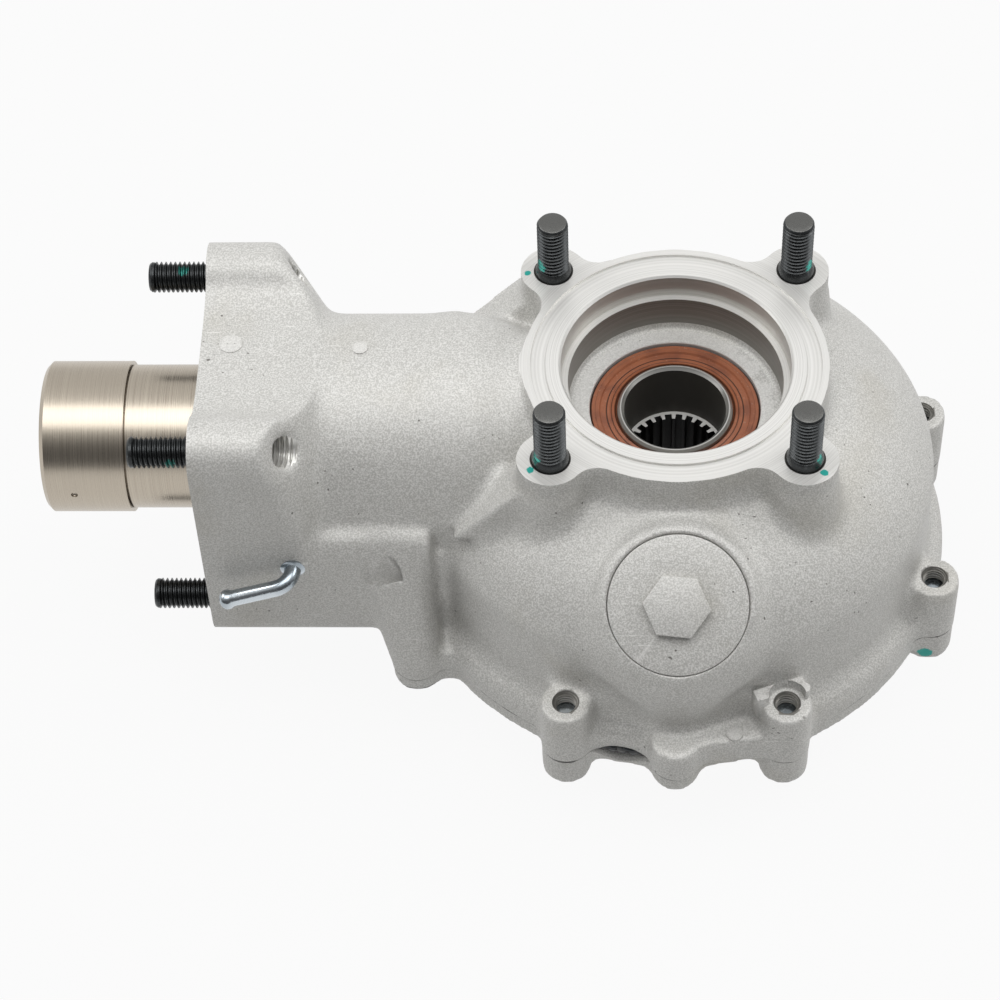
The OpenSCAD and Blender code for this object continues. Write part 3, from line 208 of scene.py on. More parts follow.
def turnedMetal(name, axis, look):
    # Metal cut on a lathe: fine rings round the axis that change with radius and length alone
    material, tree, coords = newMaterial(name)
    centre = [c * mm for c in look.get("centre", (0, 0, 0))]
    moved = addNode(tree, "VectorMath", {0: coords, 1: centre}, operation="SUBTRACT")
    x, y, z = addNode(tree, "SeparateXYZ", {0: moved}).outputs
    across, other, along = {"Z": (x, y, z), "X": (y, z, x)}[axis]
    wander = addNode(tree, "TexNoise", {"Vector": coords, "Scale": 1 / (30 * mm), "Detail": 1})
    radius = addNode(tree, "Math", {0: wander, 1: 0.0002, 2: radiusFrom(tree, across, other)},
                     operation="MULTIPLY_ADD")
    rings = addNode(tree, "CombineXYZ", {0: radius, 1: along})
    fine = addNode(tree, "TexNoise", {"Vector": rings, "Scale": 1 / (look["lineMm"] * mm), "Roughness": 0.7})
    tone = addNode(tree, "MapRange", {0: fine, 1: 0.3, 2: 0.7}, **smooth)
    layers = [(tone, 1, look["base"]),
              (blobs(tree, rings, look["lineMm"] * 9, 0.45, 0.7, 2, 0.6), look["banding"], look["dark"]),
              (blobs(tree, coords, 14, 0.5, 0.75, 3), look["blotch"], look["dark"])]
    if "paint" in look:
        layers.append((paintMask(tree, coords, look["paint"]), 1, paintColour))
    roughness = addNode(tree, "MapRange", {0: fine, 1: 0.25, 2: 0.75, 3: look["roughness"] - 0.05,
                                           4: look["roughness"] + 0.07}, **smooth)
    finishMaterial(tree, layered(tree, linear(look["dark"]), layers), roughness, fine, look["bumpMm"],
                   look["metallic"])
    return material


def plainMetal(name, base, dark, roughness, grainMm, bumpMm):
    # Plated, ground or coated steel without cutter lines
    material, tree, coords = newMaterial(name)
    grain = addNode(tree, "TexNoise", {"Vector": coords, "Scale": 1 / (grainMm * mm), "Detail": 3,
                                       "Roughness": 0.6})
    colour = layered(tree, linear(base), [(blobs(tree, coords, grainMm * 14, 0.4, 0.7), 1, dark)])
    rough = addNode(tree, "MapRange", {0: grain, 1: 0.3, 2: 0.7, 3: roughness - 0.05, 4: roughness + 0.08},
                    **smooth)
    finishMaterial(tree, colour, rough, grain, bumpMm, 1.0)
    return material


studLook = {
    "base": "#3A3C3D",
    "crestWearAndHighlight": "#585A5B",
    "mottle": "#484A4B",
    # painted highlight on the upright studs' top ends
    "end": "#6A6A68",
    "endHeight": 58.4,
    "paint": "#1E7F74",
    "paintDots": [(-43.2, 36.0, 41, 2.4), (43.4, 36.0, 41, 2.2), (-42.6, -40.4, 38.6, 2.2),
                  (43.9, -41.5, 39, 1.8), (-155.6, -41.4, 35.8, 2.2), (-157.7, 35.1, 41.2, 2.0)],
}


def blackPhosphate():
    # Black phosphate on rolled studs: dark, slightly oily, crests painted a little lighter, partly rubbed
    # wear and partly painted highlight
    look = studLook
    material, tree, coords = newMaterial("blackPhosphate")
    grain = addNode(tree, "TexNoise", {"Vector": coords, "Scale": 1 / (0.6 * mm), "Detail": 3,
                                       "Roughness": 0.6})
    pointiness = addNode(tree, "NewGeometry").outputs["Pointiness"]
    # crests painted lighter: partly rubbed wear, partly painted highlight
    crestWearAndHighlight = addNode(tree, "MapRange", {0: pointiness, 1: 0.52, 2: 0.62}, **smooth)
    mottle = addNode(tree, "MapRange", {0: grain, 1: 0.4, 2: 0.8, 3: 0, 4: 0.3}, **smooth)
    # the flat top ends of the upright studs are painted lighter, a painted highlight of the light from above
    level = addNode(tree, "SeparateXYZ", {0: coords}).outputs[2]
    paintedTopHighlight = addNode(tree, "MapRange", {0: level, 1: (look["endHeight"] - 0.12) * mm,
                                      2: (look["endHeight"] - 0.04) * mm}, **smooth)
    colour = layered(tree, linear(look["base"]), [
        (crestWearAndHighlight, 0.6, look["crestWearAndHighlight"]),
        (mottle, 1, look["mottle"]),
        (paintedTopHighlight, 1, look["end"]),
        (paintMask(tree, coords, look["paintDots"]), 0.6, look["paint"]),
    ])
    rough = addNode(tree, "MapRange", {0: grain, 1: 0.3, 2: 0.7, 3: 0.24, 4: 0.38}, **smooth)
    finishMaterial(tree, colour, rough, grain, 0.02, 0.85)
    return material


sealLook = {
    "rubber": "#95593C",
    "ridge": "#7C4832",
    "groove": "#2E1810",
    "dust": "#B08D7A",
    # dark lines painted round the lip, the shade in its moulded grooves and at its edge, at 19.0 the shadow
    # by the lip: radius and half width in mm, and depth of tone
    "lines": [(27.0, 0.45, 0.95), (25.5, 0.16, 0.3), (21.9, 0.26, 0.9), (20.4, 0.22, 0.75), (19.0, 0.4, 0.8)],
}


def sealRubber():
    # Moulded fluoroelastomer: reddish brown, soft sheen, fine moulded ridges round the lip, with painted
    # shade in their grooves and a painted shadow by the lip
    look = sealLook
    material, tree, coords = newMaterial("sealRubber")
    x, y, z = addNode(tree, "SeparateXYZ", {0: coords}).outputs
    radius = radiusFrom(tree, x, y)
    grooves = 0.0
    for at, half, tone in look["lines"]:
        away = distanceFrom(tree, radius, at * mm)
        line = addNode(tree, "MapRange", {0: away, 1: half * mm, 2: half * 0.3 * mm, 4: tone}, **smooth)
        grooves = addNode(tree, "Math", {0: line, 1: grooves}, operation="MAXIMUM")
    colour = layered(tree, linear(look["rubber"]), [
        (blobs(tree, coords, 7, 0.42, 0.7, 3), 1, look["ridge"]),
        (blobs(tree, coords, 0.9, 0.66, 0.76, 1), 0.3, look["dust"]),
        (grooves, 1, look["groove"]),
    ])
    height = addNode(tree, "Math", {0: grooves, 1: -1.0}, operation="MULTIPLY")
    finishMaterial(tree, colour, 0.4, height, 0.2, 0.0)
    return material


def blackRubber(name, base, roughness=0.6):
    # Nitrile rubber or sealing paste: near black, matt, a little dusty
    material, tree, coords = newMaterial(name)
    colour = layered(tree, linear(base), [(blobs(tree, coords, 4, 0.4, 0.8, 3), 1, "#4A4846")])
    grain = addNode(tree, "TexNoise", {"Vector": coords, "Scale": 1 / (0.5 * mm)})
    finishMaterial(tree, colour, roughness, grain, 0.03, 0.0)
    return material


hubLook = {
    "ring": "#CBCAC6",
    "line": "#A9A8A4",
    "bore": "#36332E",
    "litSplineEnd": "#D8D7D3",
    "deep": "#0E0D0C",
    "boreRadius": 16.4,
    "boreTop": 13.1,
    "splineTop": -7.5,
}


def oiledAndShadedHub():
    # Turned steel hub: bright ring on top, and a bore painted nearly black, partly oil and partly painted
    # shade; the spline's tooth ends, which face up, carry a painted highlight
    look = hubLook
    material, tree, coords = newMaterial("turnedHubSteel")
    x, y, z = addNode(tree, "SeparateXYZ", {0: coords}).outputs
    radius = radiusFrom(tree, x, y)
    rings = addNode(tree, "CombineXYZ", {0: radius, 1: z})
    fine = addNode(tree, "TexNoise", {"Vector": rings, "Scale": 1 / (0.35 * mm), "Roughness": 0.7})
    tone = addNode(tree, "MapRange", {0: fine, 1: 0.3, 2: 0.7}, **smooth)
    within, under, past = [addNode(tree, "Math", {0: value, 1: limit * mm}, operation="LESS_THAN")
                           for value, limit in ((radius, look["boreRadius"]), (z, look["boreTop"]),
                                                (z, look["splineTop"] - 0.1))]
    inside = addNode(tree, "Math", {0: within, 1: under}, operation="MULTIPLY")
    below = addNode(tree, "Math", {0: inside, 1: past}, operation="MULTIPLY")
    # painted highlight: the spline's tooth ends, which face up, are painted lighter
    away = distanceFrom(tree, z, look["splineTop"] * mm)
    paintedLitToothEnd = addNode(tree, "Math", {0: away, 1: 0.06 * mm}, operation="LESS_THAN")
    colour = layered(tree, linear(look["line"]), [
        (tone, 1, look["ring"]),
        (inside, 1, look["bore"]),
        (below, 1, look["deep"]),
        (paintedLitToothEnd, 1, look["litSplineEnd"]),
    ])
    rough = addNode(tree, "MapRange", {0: inside, 1: 0.0, 2: 1.0, 3: 0.28, 4: 0.55}, **smooth)
    metal = addNode(tree, "MapRange", {0: inside, 1: 0.0, 2: 1.0, 3: 0.9, 4: 0.0}, **smooth)
    finishMaterial(tree, colour, rough, fine, 0.012, metal)
    return material


# lathe and mill finishes: how wide the cutter lines are, how deep, and how uneven the tone is
turnedLooks = {
    "turnedAluminium": {"axis": "Z", "base": "#EAE9E6", "dark": "#D3D2CE", "roughness": 0.37, "lineMm": 0.35,
                        "bumpMm": 0.006, "metallic": 0.55, "blotch": 0.1, "banding": 0.15,
                        "paint": flangePaint},
    "milledAluminium": {"axis": "X", "base": "#DFDEDA", "dark": "#C4C3BF", "roughness": 0.34, "lineMm": 0.5,
                        "bumpMm": 0.010, "metallic": 0.6, "blotch": 0.15, "banding": 0.25,
                        "centre": (0, 60, 20)},
    # painted shade: a darker copy of machined aluminium for the recess wall and the holes, which lie in shade
    "shadedBoreAluminium": {"axis": "Z", "base": "#8B8984", "dark": "#7A7873", "roughness": 0.42, "lineMm": 0.5,
                       "bumpMm": 0.004, "metallic": 0.65, "blotch": 0.1, "banding": 0.2},
    "turnedRegister": {"axis": "Z", "base": "#C6C4BF", "dark": "#B2AFAA", "roughness": 0.36, "lineMm": 0.5,
                       "bumpMm": 0.004, "metallic": 0.6, "blotch": 0.1, "banding": 0.2},
    "nickelPlatedSteel": {"axis": "X", "base": "#C4BBAC", "dark": "#AEA497", "roughness": 0.29,
                          "lineMm": 0.16, "bumpMm": 0.004, "metallic": 1.0, "blotch": 0.1, "banding": 0.12},
    "turnedShaftSteel": {"axis": "X", "base": "#9C9A96", "dark": "#6A6763", "roughness": 0.30, "lineMm": 0.4,
                         "bumpMm": 0.015, "metallic": 1.0, "blotch": 0.3, "banding": 0.35},
}
milled, milledFlange, shadedBoreWall, registerWall, nickel, shaftSteel = [
    turnedMetal(name, look["axis"], look) for name, look in turnedLooks.items()]
cast = castAluminium()
hubSteel = oiledAndShadedHub()
gearSteel = plainMetal("caseHardenedSteel", "#77736E", "#4E4A46", 0.34, 0.8, 0.03)
bearingSteel = plainMetal("groundBearingSteel", "#C9CACB", "#A3A5A7", 0.14, 1.2, 0.004)
zinc = plainMetal("brightZincPlate", "#C9D0D5", "#98A1A8", 0.2, 1.0, 0.01)
copper = plainMetal("softCopper", "#C07A50", "#8E5538", 0.35, 1.0, 0.02)
phosphate = blackPhosphate()
brownSeal = sealRubber()
blackSeal = blackRubber("nitrileRubber", "#1B1A19")
paste = blackRubber("sealingPaste", "#2A2A2A")
beadPaste = blackRubber("curedPaste", "#23272B", 0.22)
print("materials made")


def newObject(name, mesh, body, materials):
    obj = bpy.data.objects.new(name, mesh)
    bpy.context.scene.collection.objects.link(obj)
    # clearing the slots forgets which face had which, so that is put back
    kept = np.empty(len(mesh.polygons), np.int32)
    mesh.polygons.foreach_get("material_index", kept)
    mesh.materials.clear()
    for material in materials:
        mesh.materials.append(material)
    mesh.polygons.foreach_set("material_index", kept if len(materials) > 1 else kept * 0)
    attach(obj, body)
    return obj


def nodeCopy(name):
    bm = bmesh.new()
    bm.from_mesh(nodes[name].data)
    bmesh.ops.remove_doubles(bm, verts=bm.verts, dist=2e-6)
    return bm


def toMesh(bm, name):
    mesh = bpy.data.meshes.new(name)
    bm.to_mesh(mesh)
    bm.free()
    return mesh


def smoothShade(bm, sharpDegrees):
    for face in bm.faces:
        face.smooth = True
    for edge in bm.edges:
        edge.smooth = edge.calc_face_angle(0) < math.radians(sharpDegrees)


def withModifier(mesh, kind, **settings):
    # applies one modifier to a mesh and gives the result
    obj = bpy.data.objects.new("work", mesh)
    bpy.context.scene.collection.objects.link(obj)
    modifier = obj.modifiers.new("work", kind)
    for key, value in settings.items():
        setattr(modifier, key, value)
    result = bpy.data.meshes.new_from_object(obj.evaluated_get(bpy.context.evaluated_depsgraph_get()))
    bpy.data.objects.remove(obj)
    bpy.data.meshes.remove(mesh)
    return result


def cutAway(mesh, cutterMesh, operation="DIFFERENCE"):
    cutter = bpy.data.objects.new("cutter", cutterMesh)
    bpy.context.scene.collection.objects.link(cutter)
    result = withModifier(mesh, "BOOLEAN", object=cutter, operation=operation, solver="MANIFOLD")
    bpy.data.objects.remove(cutter)
    bpy.data.meshes.remove(cutterMesh)
    return result


towardsPinion = Matrix.Rotation(math.radians(-90), 4, "Y")  # turns +Z to -X
capTilt = math.radians(50)


def shift(x, y, z=0):
    return Matrix.Translation((x * mm, y * mm, z * mm))


def capFrame():
    # the filler cap's own frame, with the cap's face at height zero
    place = Vector((0.2, -54 * math.cos(capTilt), 54 * math.sin(capTilt)))
    place += Vector((0, -51.4 * math.sin(capTilt), -51.4 * math.cos(capTilt)))
    return Matrix.Translation(place * mm) @ Matrix.Rotation(math.pi / 2 - capTilt, 4, "X")


def latheMesh(profile, steps=96, matrix=None):
    # spins a closed profile of radius and height in mm round the Z axis
    bm = bmesh.new()
    ring = [bm.verts.new((r * mm, 0, z * mm)) for r, z in profile]
    edges = [bm.edges.new((a, b)) for a, b in zip(ring, ring[1:] + ring[:1])]
    bmesh.ops.spin(bm, geom=ring + edges, cent=(0, 0, 0), axis=(0, 0, 1), angle=2 * math.pi, steps=steps,
                   use_merge=True, use_duplicate=False)
    bmesh.ops.remove_doubles(bm, verts=bm.verts, dist=1e-7)
    bmesh.ops.dissolve_degenerate(bm, edges=bm.edges, dist=1e-8)
    bmesh.ops.recalc_face_normals(bm, faces=bm.faces)
    if matrix is not None:
        bm.transform(matrix)
    return toMesh(bm, "lathe")


def rod(radius, low, high, place=(0, 0), matrix=None, steps=32):
    move = shift(*place) if matrix is None else matrix @ shift(*place)
    return latheMesh([(0, low), (radius, low), (radius, high), (0, high)], steps, move)


def tube(outer, inner, low, high, matrix=None):
    return latheMesh([(inner, low), (outer, low), (outer, high), (inner, high)], 96, matrix)


def threadMesh(radius, pitch, low, high, matrix=None, steps=28, deep=0.61):
    # a screw thread as one closed solid between two heights, with flat crests and roots
    bm = bmesh.new()
    core = radius - deep * pitch
    section = [(core, 0.0), (core, 0.12), (radius, 0.44), (radius, 0.56), (core, 0.88), (core, 1.0)]
    verts = [bm.verts.new((r * mm, 0, (low - pitch + z * pitch) * mm)) for r, z in section]
    edges = [bm.edges.new(pair) for pair in zip(verts, verts[1:])]
    turns = math.ceil((high - low) / pitch) + 1
    bmesh.ops.spin(bm, geom=verts + edges, cent=(0, 0, 0), axis=(0, 0, 1), dvec=(0, 0, pitch * mm / steps),
                   angle=2 * math.pi * turns, steps=steps * turns, use_duplicate=False)
    bmesh.ops.remove_doubles(bm, verts=bm.verts, dist=2e-6)
    bmesh.ops.holes_fill(bm, edges=[e for e in bm.edges if e.is_boundary], sides=0)
    bmesh.ops.triangulate(bm, faces=[f for f in bm.faces if len(f.verts) > 4])
    bmesh.ops.recalc_face_normals(bm, faces=bm.faces)
    if matrix is not None:
        bm.transform(matrix)
    return toMesh(bm, "thread")


def pointsAndEdges(mesh):
    co = np.empty(len(mesh.vertices) * 3)
    mesh.vertices.foreach_get("co", co)
    pairs = np.empty(len(mesh.edges) * 2, np.int64)
    mesh.edges.foreach_get("vertices", pairs)
    return co.reshape(-1, 3), pairs.reshape(-1, 2)


def putPoints(mesh, co):
    mesh.vertices.foreach_set("co", co.ravel())
    mesh.update()


def pullOf(co, pairs):
    # from each point to the middle of its neighbours
    a, b = pairs.T
    count = len(co)
    near = [np.bincount(a, co[b, k], count) + np.bincount(b, co[a, k], count) for k in range(3)]
    valence = np.maximum(np.bincount(np.concatenate([a, b]), minlength=count), 1)[:, None]
    return np.stack(near, 1) / valence - co


def relax(mesh, evenSteps, innerSteps):
    # rounds every edge a little, then goes on in the inner corners alone, as metal fills a mould
    co, pairs = pointsAndEdges(mesh)
    for step in range(evenSteps + innerSteps):
        pull = pullOf(co, pairs)
        if step >= evenSteps:
            if (step - evenSteps) % 6 == 0:
                putPoints(mesh, co)
                normals = np.empty(co.size)
                mesh.vertex_normals.foreach_get("vector", normals)
                normals = normals.reshape(-1, 3)
            pull *= (np.einsum("ij,ij->i", pull, normals) > 0)[:, None]
        co += 0.5 * pull
    putPoints(mesh, co)


def soften(mesh, spots, steps):
    # goes on rounding near the given places alone: point and reach in mm
    co, pairs = pointsAndEdges(mesh)
    weight = np.zeros(len(co))
    for x, y, z, reach in spots:
        far = np.linalg.norm(co / mm - (x, y, z), axis=1) / reach
        weight = np.maximum(weight, np.clip(1.6 * (1 - far), 0, 1))
    pairs = pairs[(weight[pairs] > 0).any(axis=1)]
    for step in range(steps):
        co += 0.5 * weight[:, None] * pullOf(co, pairs)
    putPoints(mesh, co)


def castFrom(node, machinedPlanes, plugs, sizes):
    # the CAD solid with its machining allowance back on and its bores closed, rounded as a raw casting is
    bm = nodeCopy(node)
    for axis, level, sign in machinedPlanes:
        flat = [f for f in bm.faces if f.normal[axis] * sign > 0.99
                and all(abs(v.co[axis] - level * mm) < 1e-5 for v in f.verts)]
        made = bmesh.ops.extrude_face_region(bm, geom=flat)["geom"]
        allowance = [0, 0, 0]
        allowance[axis] = sign * sizes["allowance"] * mm
        bmesh.ops.translate(bm, verts=[g for g in made if isinstance(g, bmesh.types.BMVert)], vec=allowance)
        bmesh.ops.delete(bm, geom=[f for f in flat if f.is_valid], context="FACES")
    raw = toMesh(bm, node + "Raw")
    joined = bmesh.new()
    for solid in [raw] + plugs:
        joined.from_mesh(solid)
        bpy.data.meshes.remove(solid)
    mesh = withModifier(toMesh(joined, node + "Plugged"), "REMESH", mode="VOXEL",
                        voxel_size=sizes["voxelMm"] * mm)
    relax(mesh, sizes["evenSteps"], sizes["innerSteps"])
    return mesh


def shadeCasting(mesh, machinedTests, sharpDegrees=28):
    # smooth everywhere, sharp where a tool has cut, and the cut faces get the machined material
    count = len(mesh.polygons)
    centres = np.empty(count * 3)
    mesh.polygons.foreach_get("center", centres)
    normals = np.empty(count * 3)
    mesh.polygons.foreach_get("normal", normals)
    centres, normals = centres.reshape(-1, 3) / mm, normals.reshape(-1, 3)
    slots = np.zeros(count, np.int32)
    for slotIndex, test in machinedTests:
        slots[test(centres, normals)] = slotIndex
    mesh.polygons.foreach_set("material_index", slots)
    mesh.polygons.foreach_set("use_smooth", np.ones(count, bool))
    bm = bmesh.new()
    bm.from_mesh(mesh)
    limit = math.radians(sharpDegrees)
    for edge in bm.edges:
        if len(edge.link_faces) == 2:
            f, g = edge.link_faces
            uncut = f.material_index == 0 and g.material_index == 0
            edge.smooth = uncut or edge.calc_face_angle(0) < limit
    bm.to_mesh(mesh)
    bm.free()


def faceTest(axis, level, sign, reach=0.01, straight=0.9995):
    # the faces of one milled plane
    return lambda c, n: (np.abs(c[:, axis] - level) < reach) & (n[:, axis] * sign > straight)


def roundTest(inner, outer, low, high, place=(0, 0), axis=2):
    # the faces between two radii and two heights round an axis
    a, b = [k for k in range(3) if k != axis]

    def test(c, n):
        radius = np.hypot(c[:, a] - place[0], c[:, b] - place[1])
        return (radius >= inner) & (radius < outer) & (c[:, axis] > low) & (c[:, axis] < high)
    return test


caseSizes = {
    "axleFace": 36.0,
    "joint": -52.0,
    "pinionFace": -149.5,
    "registerFloor": 27.5,
    "registerRadius": 36.2,
    "pinionStud": 36.4,
    "studCircle": 110.0,
    "lugCircle": 90.5,
    "lugAngles": [-112.5, -67.5, -22.5, 22.5, 67.5, 112.5],
    "sideLug": (-83.5, 52.0),
    "allowance": 2.2,
    "voxelMm": 1.2,
    "evenSteps": 4,
    "innerSteps": 16,
    "keptFaces": 0.55,
    # places that the mould rounds further: point and reach
    "softSpots": [(0, -93, -17, 17), (-13, -90, -14, 16), (13, -90, -14, 16), (-26, -84, -4, 14),
                  (26, -84, -4, 14), (0, -87, -33, 10), (-12, -84, -32, 10), (12, -84, -32, 10),
                  (-112, -40, 40, 13), (-118, -46, 22, 13), (-118, 38, 46, 12), (-93, -46, 0, 8),
                  (-86, -44, -4, 9)],
    # ejector marks: point, radius, and the heights of their top and foot
    "discs": [(-140, 4.5, 3.7, 40.35, 36), (-99.2, 3, 2.45, 39.95, 36), (18.4, -88.9, 2.6, -39.35, -46)],
}
# what the tools turn out of the casting: radius and height in mm
caseCuts = {
    "register": [(0, 27.5), (36.2, 27.5), (36.2, 35.4), (37.4, 36.6), (0, 36.6)],
    "recess": [(0, 14.2), (31.9, 14.2), (33.1, 14.6), (33.8, 15.4), (34, 16.4), (34, 27.6), (0, 27.6)],
    "bearing": [(0, -22), (31.05, -22), (31.05, 4.5), (27.25, 4.5), (27.25, 13.9), (27.5, 14.3), (0, 14.3)],
    "pinionBore": [(0, 40), (27, 40), (27, 77), (31.05, 77), (31.05, 148.5), (32.5, 150), (0, 150)],
    "studHole": [(0, 16), (5.1, 16), (5.1, 34.8), (6.35, 35.9), (6.35, 36.2), (0, 36.2)],
    "lugMouth": [(0, -31), (3.6, -31), (4.3, -30), (4.3, -27), (0, -27)],
    "capSeat": [(0, -4), (21.9, -4), (21.9, -0.8), (23.1, 0.4), (25.4, 2.7), (25.4, 12), (0, 12)],
    "bossFill": [(0, -42), (18.5, -42), (25.6, -15), (0, -15)],
}
s = caseSizes
half = s["studCircle"] / 2 * math.cos(math.pi / 4)
studPlaces = [(x * half, y * half) for x in (-1, 1) for y in (-1, 1)]
lugPlaces = [(s["lugCircle"] * math.cos(math.radians(a)), s["lugCircle"] * math.sin(math.radians(a)))
             for a in s["lugAngles"]]
sidePlaces = [(s["sideLug"][0], k * s["sideLug"][1]) for k in (-1, 1)]
lobePlaces = [(0, -s["lugCircle"]), (0, s["lugCircle"])]
holePlaces = studPlaces + lugPlaces + sidePlaces


def breatherPad():
    # low pad whose upper and pinion side edges stand proud and whose other edges run into the wall
    bm = bmesh.new()
    bmesh.ops.create_cube(bm, size=1)
    for v in bm.verts:
        proud = 0.62 if v.co.z > 0 and v.co.x > 0 else 0.35 if v.co.z > 0 or v.co.x > 0 else -0.3
        y = -47.6 - proud if v.co.y < 0 else -44
        v.co = (-121.5 + v.co.x * 11, y, -9 + v.co.z * 8)
    bm.transform(Matrix.Scale(mm, 4))
    return toMesh(bm, "pad")


def pryNotch(height):
    # frame of the notch beside the plain lobe, its axis pointing out of the rim
    turn = Matrix.Rotation(math.radians(-101), 4, "Z")
    return turn @ shift(0, 0, height) @ Matrix.Rotation(math.pi / 2, 4, "Y")


def spotFill():
    # the dome's wall over the second lug, taken from its mirror image where no tool has cut
    spot = rod(9.5, -33, -12, lugPlaces[0], None, 48)
    mesh = cutAway(toMesh(nodeCopy("main_case"), "copy"), spot, "INTERSECT")
    bm = bmesh.new()
    bm.from_mesh(mesh)
    bm.transform(Matrix.Scale(-1, 4, (1, 0, 0)))
    bmesh.ops.reverse_faces(bm, faces=bm.faces)
    return toMesh(bm, "spotFill")


barSizes = {"length": 16.5, "width": 4.2, "height": 9, "middle": (32.4, -80.9, -30.8), "turn": 20,
            "disc": (40, -80.6, 1.8), "discTop": -25.9}


def lugBar():
    # low bar behind the second lug, with a small disc at its end
    k = barSizes
    x, y, z = k["middle"]
    bm = bmesh.new()
    bmesh.ops.create_cube(bm, size=1)
    for v in bm.verts:
        v.co = (v.co.x * k["length"], v.co.y * k["width"], v.co.z * k["height"] + z)
    bm.transform(Matrix.Translation((x, y, 0)) @ Matrix.Rotation(math.radians(k["turn"]), 4, "Z"))
    bm.transform(Matrix.Scale(mm, 4))
    disc = rod(k["disc"][2], -36, k["discTop"], k["disc"][:2], None, 32)
    return cutAway(toMesh(bm, "bar"), disc, "UNION")


# the panel's corners on the web, and how deep it is at each
panelCorners = [(-108, -0.8, -0.1), (-97, -1.0, 0.35), (-92, -1.8, 0.6), (-88.8, -3.6, 0.7),
                (-87, -6.4, 0.65), (-86.2, -10, 0.5), (-86, -15, -0.1), (-97, -16, -0.1)]


def webPanel():
    # shallow panel on the web: deepest along its rounded corner, running out towards the pinion
    bm = bmesh.new()
    outer = [bm.verts.new((x * mm, -50 * mm, z * mm)) for x, z, deep in panelCorners]
    inner = [bm.verts.new((x * mm, (-47.62 + deep) * mm, z * mm)) for x, z, deep in panelCorners]
    for k in range(len(outer)):
        j = (k + 1) % len(outer)
        bm.faces.new((outer[k], outer[j], inner[j], inner[k]))
    bm.faces.new(outer)
    bm.faces.new(inner)
    bmesh.ops.triangulate(bm, faces=bm.faces)
    bmesh.ops.recalc_face_normals(bm, faces=bm.faces)
    return toMesh(bm, "panel")


def casePlugs():
    # what closes the CAD solid's bores and fills it out to the raw casting
    plugs = [tube(37.5, 31, 27.5, 38), tube(47.2, 40, 33, 38), tube(34.8, 26.5, 12.2, 28),
             tube(32.5, 24, -19, 13.2)]
    plugs += [rod(6.6, 14, 38, p) for p in studPlaces]
    plugs += [rod(4.4, -54, -30, p) for p in lugPlaces] + [rod(4.4, -54, -36, p) for p in sidePlaces]
    plugs += [tube(32.5, 24, 76, 151.5, towardsPinion)]
    for y in (-s["pinionStud"], s["pinionStud"]):
        plugs.append(rod(5.4, 108, 151.5, (-s["pinionStud"], y), towardsPinion))
        plugs.append(rod(5.4, 130, 151.5, (s["pinionStud"], y), towardsPinion))
    plugs.append(rod(22.4, -9, -0.4, (0, 0), capFrame(), 64))
    plugs.append(rod(3, 30, 46, (-121.5, -11), Matrix.Rotation(math.pi / 2, 4, "X")))
    plugs += [rod(8.15, -54, -34, p, None, 48) for p in lugPlaces]
    plugs += [rod(8.15, -54, -41, p, None, 48) for p in lobePlaces]
    plugs.append(latheMesh(caseCuts["bossFill"], 64, shift(0.2, -68)))
    return plugs + [spotFill(), rod(14, 80, 88.3, (0, 0), pryNotch(-62.4), 48)]


def caseCutters():
    # the axle face is milled ear by ear, clear of the pinion tube behind it
    cutters = [rod(49.5, 36, 60, (0, 0), None, 64)] + [rod(20, 36, 60, p, None, 48) for p in studPlaces]
    cutters.append(rod(120, -90, -52, (0, 0), None, 96))
    cutters.append(rod(90, 149.5, 170, (0, 0), towardsPinion))
    cutters.append(latheMesh(caseCuts["register"], 128))
    cutters.append(tube(45.8, 41, 35.2, 36.5))
    cutters += [latheMesh(caseCuts["recess"], 128), latheMesh(caseCuts["bearing"], 128)]
    cutters.append(latheMesh(caseCuts["pinionBore"], 128, towardsPinion))
    cutters += [latheMesh(caseCuts["studHole"], 40, shift(*p)) for p in studPlaces]
    for p in lugPlaces + sidePlaces:
        top = -28.5 if p in lugPlaces else -38
        cutters.append(threadMesh(4.06, 1.25, -55, top, shift(*p), 28, 0.7))
        if p in lugPlaces:
            cutters.append(latheMesh(caseCuts["lugMouth"], 40, shift(*p)))
    cutters.append(rod(5.9, -30, -20, lugPlaces[1], None, 48))
    cutters.append(rod(12.6, 85.8, 100, (0, 0), pryNotch(-62.4), 64))
    for y in (-s["pinionStud"], s["pinionStud"]):
        cutters.append(threadMesh(5.06, 1.5, 104, 151, towardsPinion @ shift(s["pinionStud"], y)))
        cutters.append(rod(5.06, 119.5, 151, (-s["pinionStud"], y), towardsPinion))
    cutters += [latheMesh(caseCuts["capSeat"], 96, capFrame()), webPanel()]
    cutters.append(rod(19.1, -5.8, -3.5, (0, 0), capFrame(), 96))
    cutters.append(rod(17.06, -60, -4, (0, 0), capFrame(), 96))
    cutters.append(rod(7.06, 60, 100, (0, 29), Matrix.Rotation(-math.pi / 2, 4, "X"), 40))
    return cutters


def caseMesh():
    machined = [(2, s["axleFace"], 1), (2, s["joint"], -1), (0, s["pinionFace"], -1)]
    mesh = castFrom("main_case", machined, casePlugs(), s)
    print("case cast:", len(mesh.polygons), "faces")
    soften(mesh, s["softSpots"], 36)
    # thinned where it is flattest, which keeps the finished piece under 200,000 triangles
    mesh = withModifier(mesh, "DECIMATE", ratio=s["keptFaces"])
    raised = [rod(radius, low, top, (x, y), None, 48 if radius > 3 else 40)
              for x, y, radius, top, low in s["discs"]]
    for form in raised + [breatherPad(), lugBar()]:
        mesh = cutAway(mesh, form, "UNION")
    for cutter in caseCutters():
        mesh = cutAway(mesh, cutter)
    return mesh


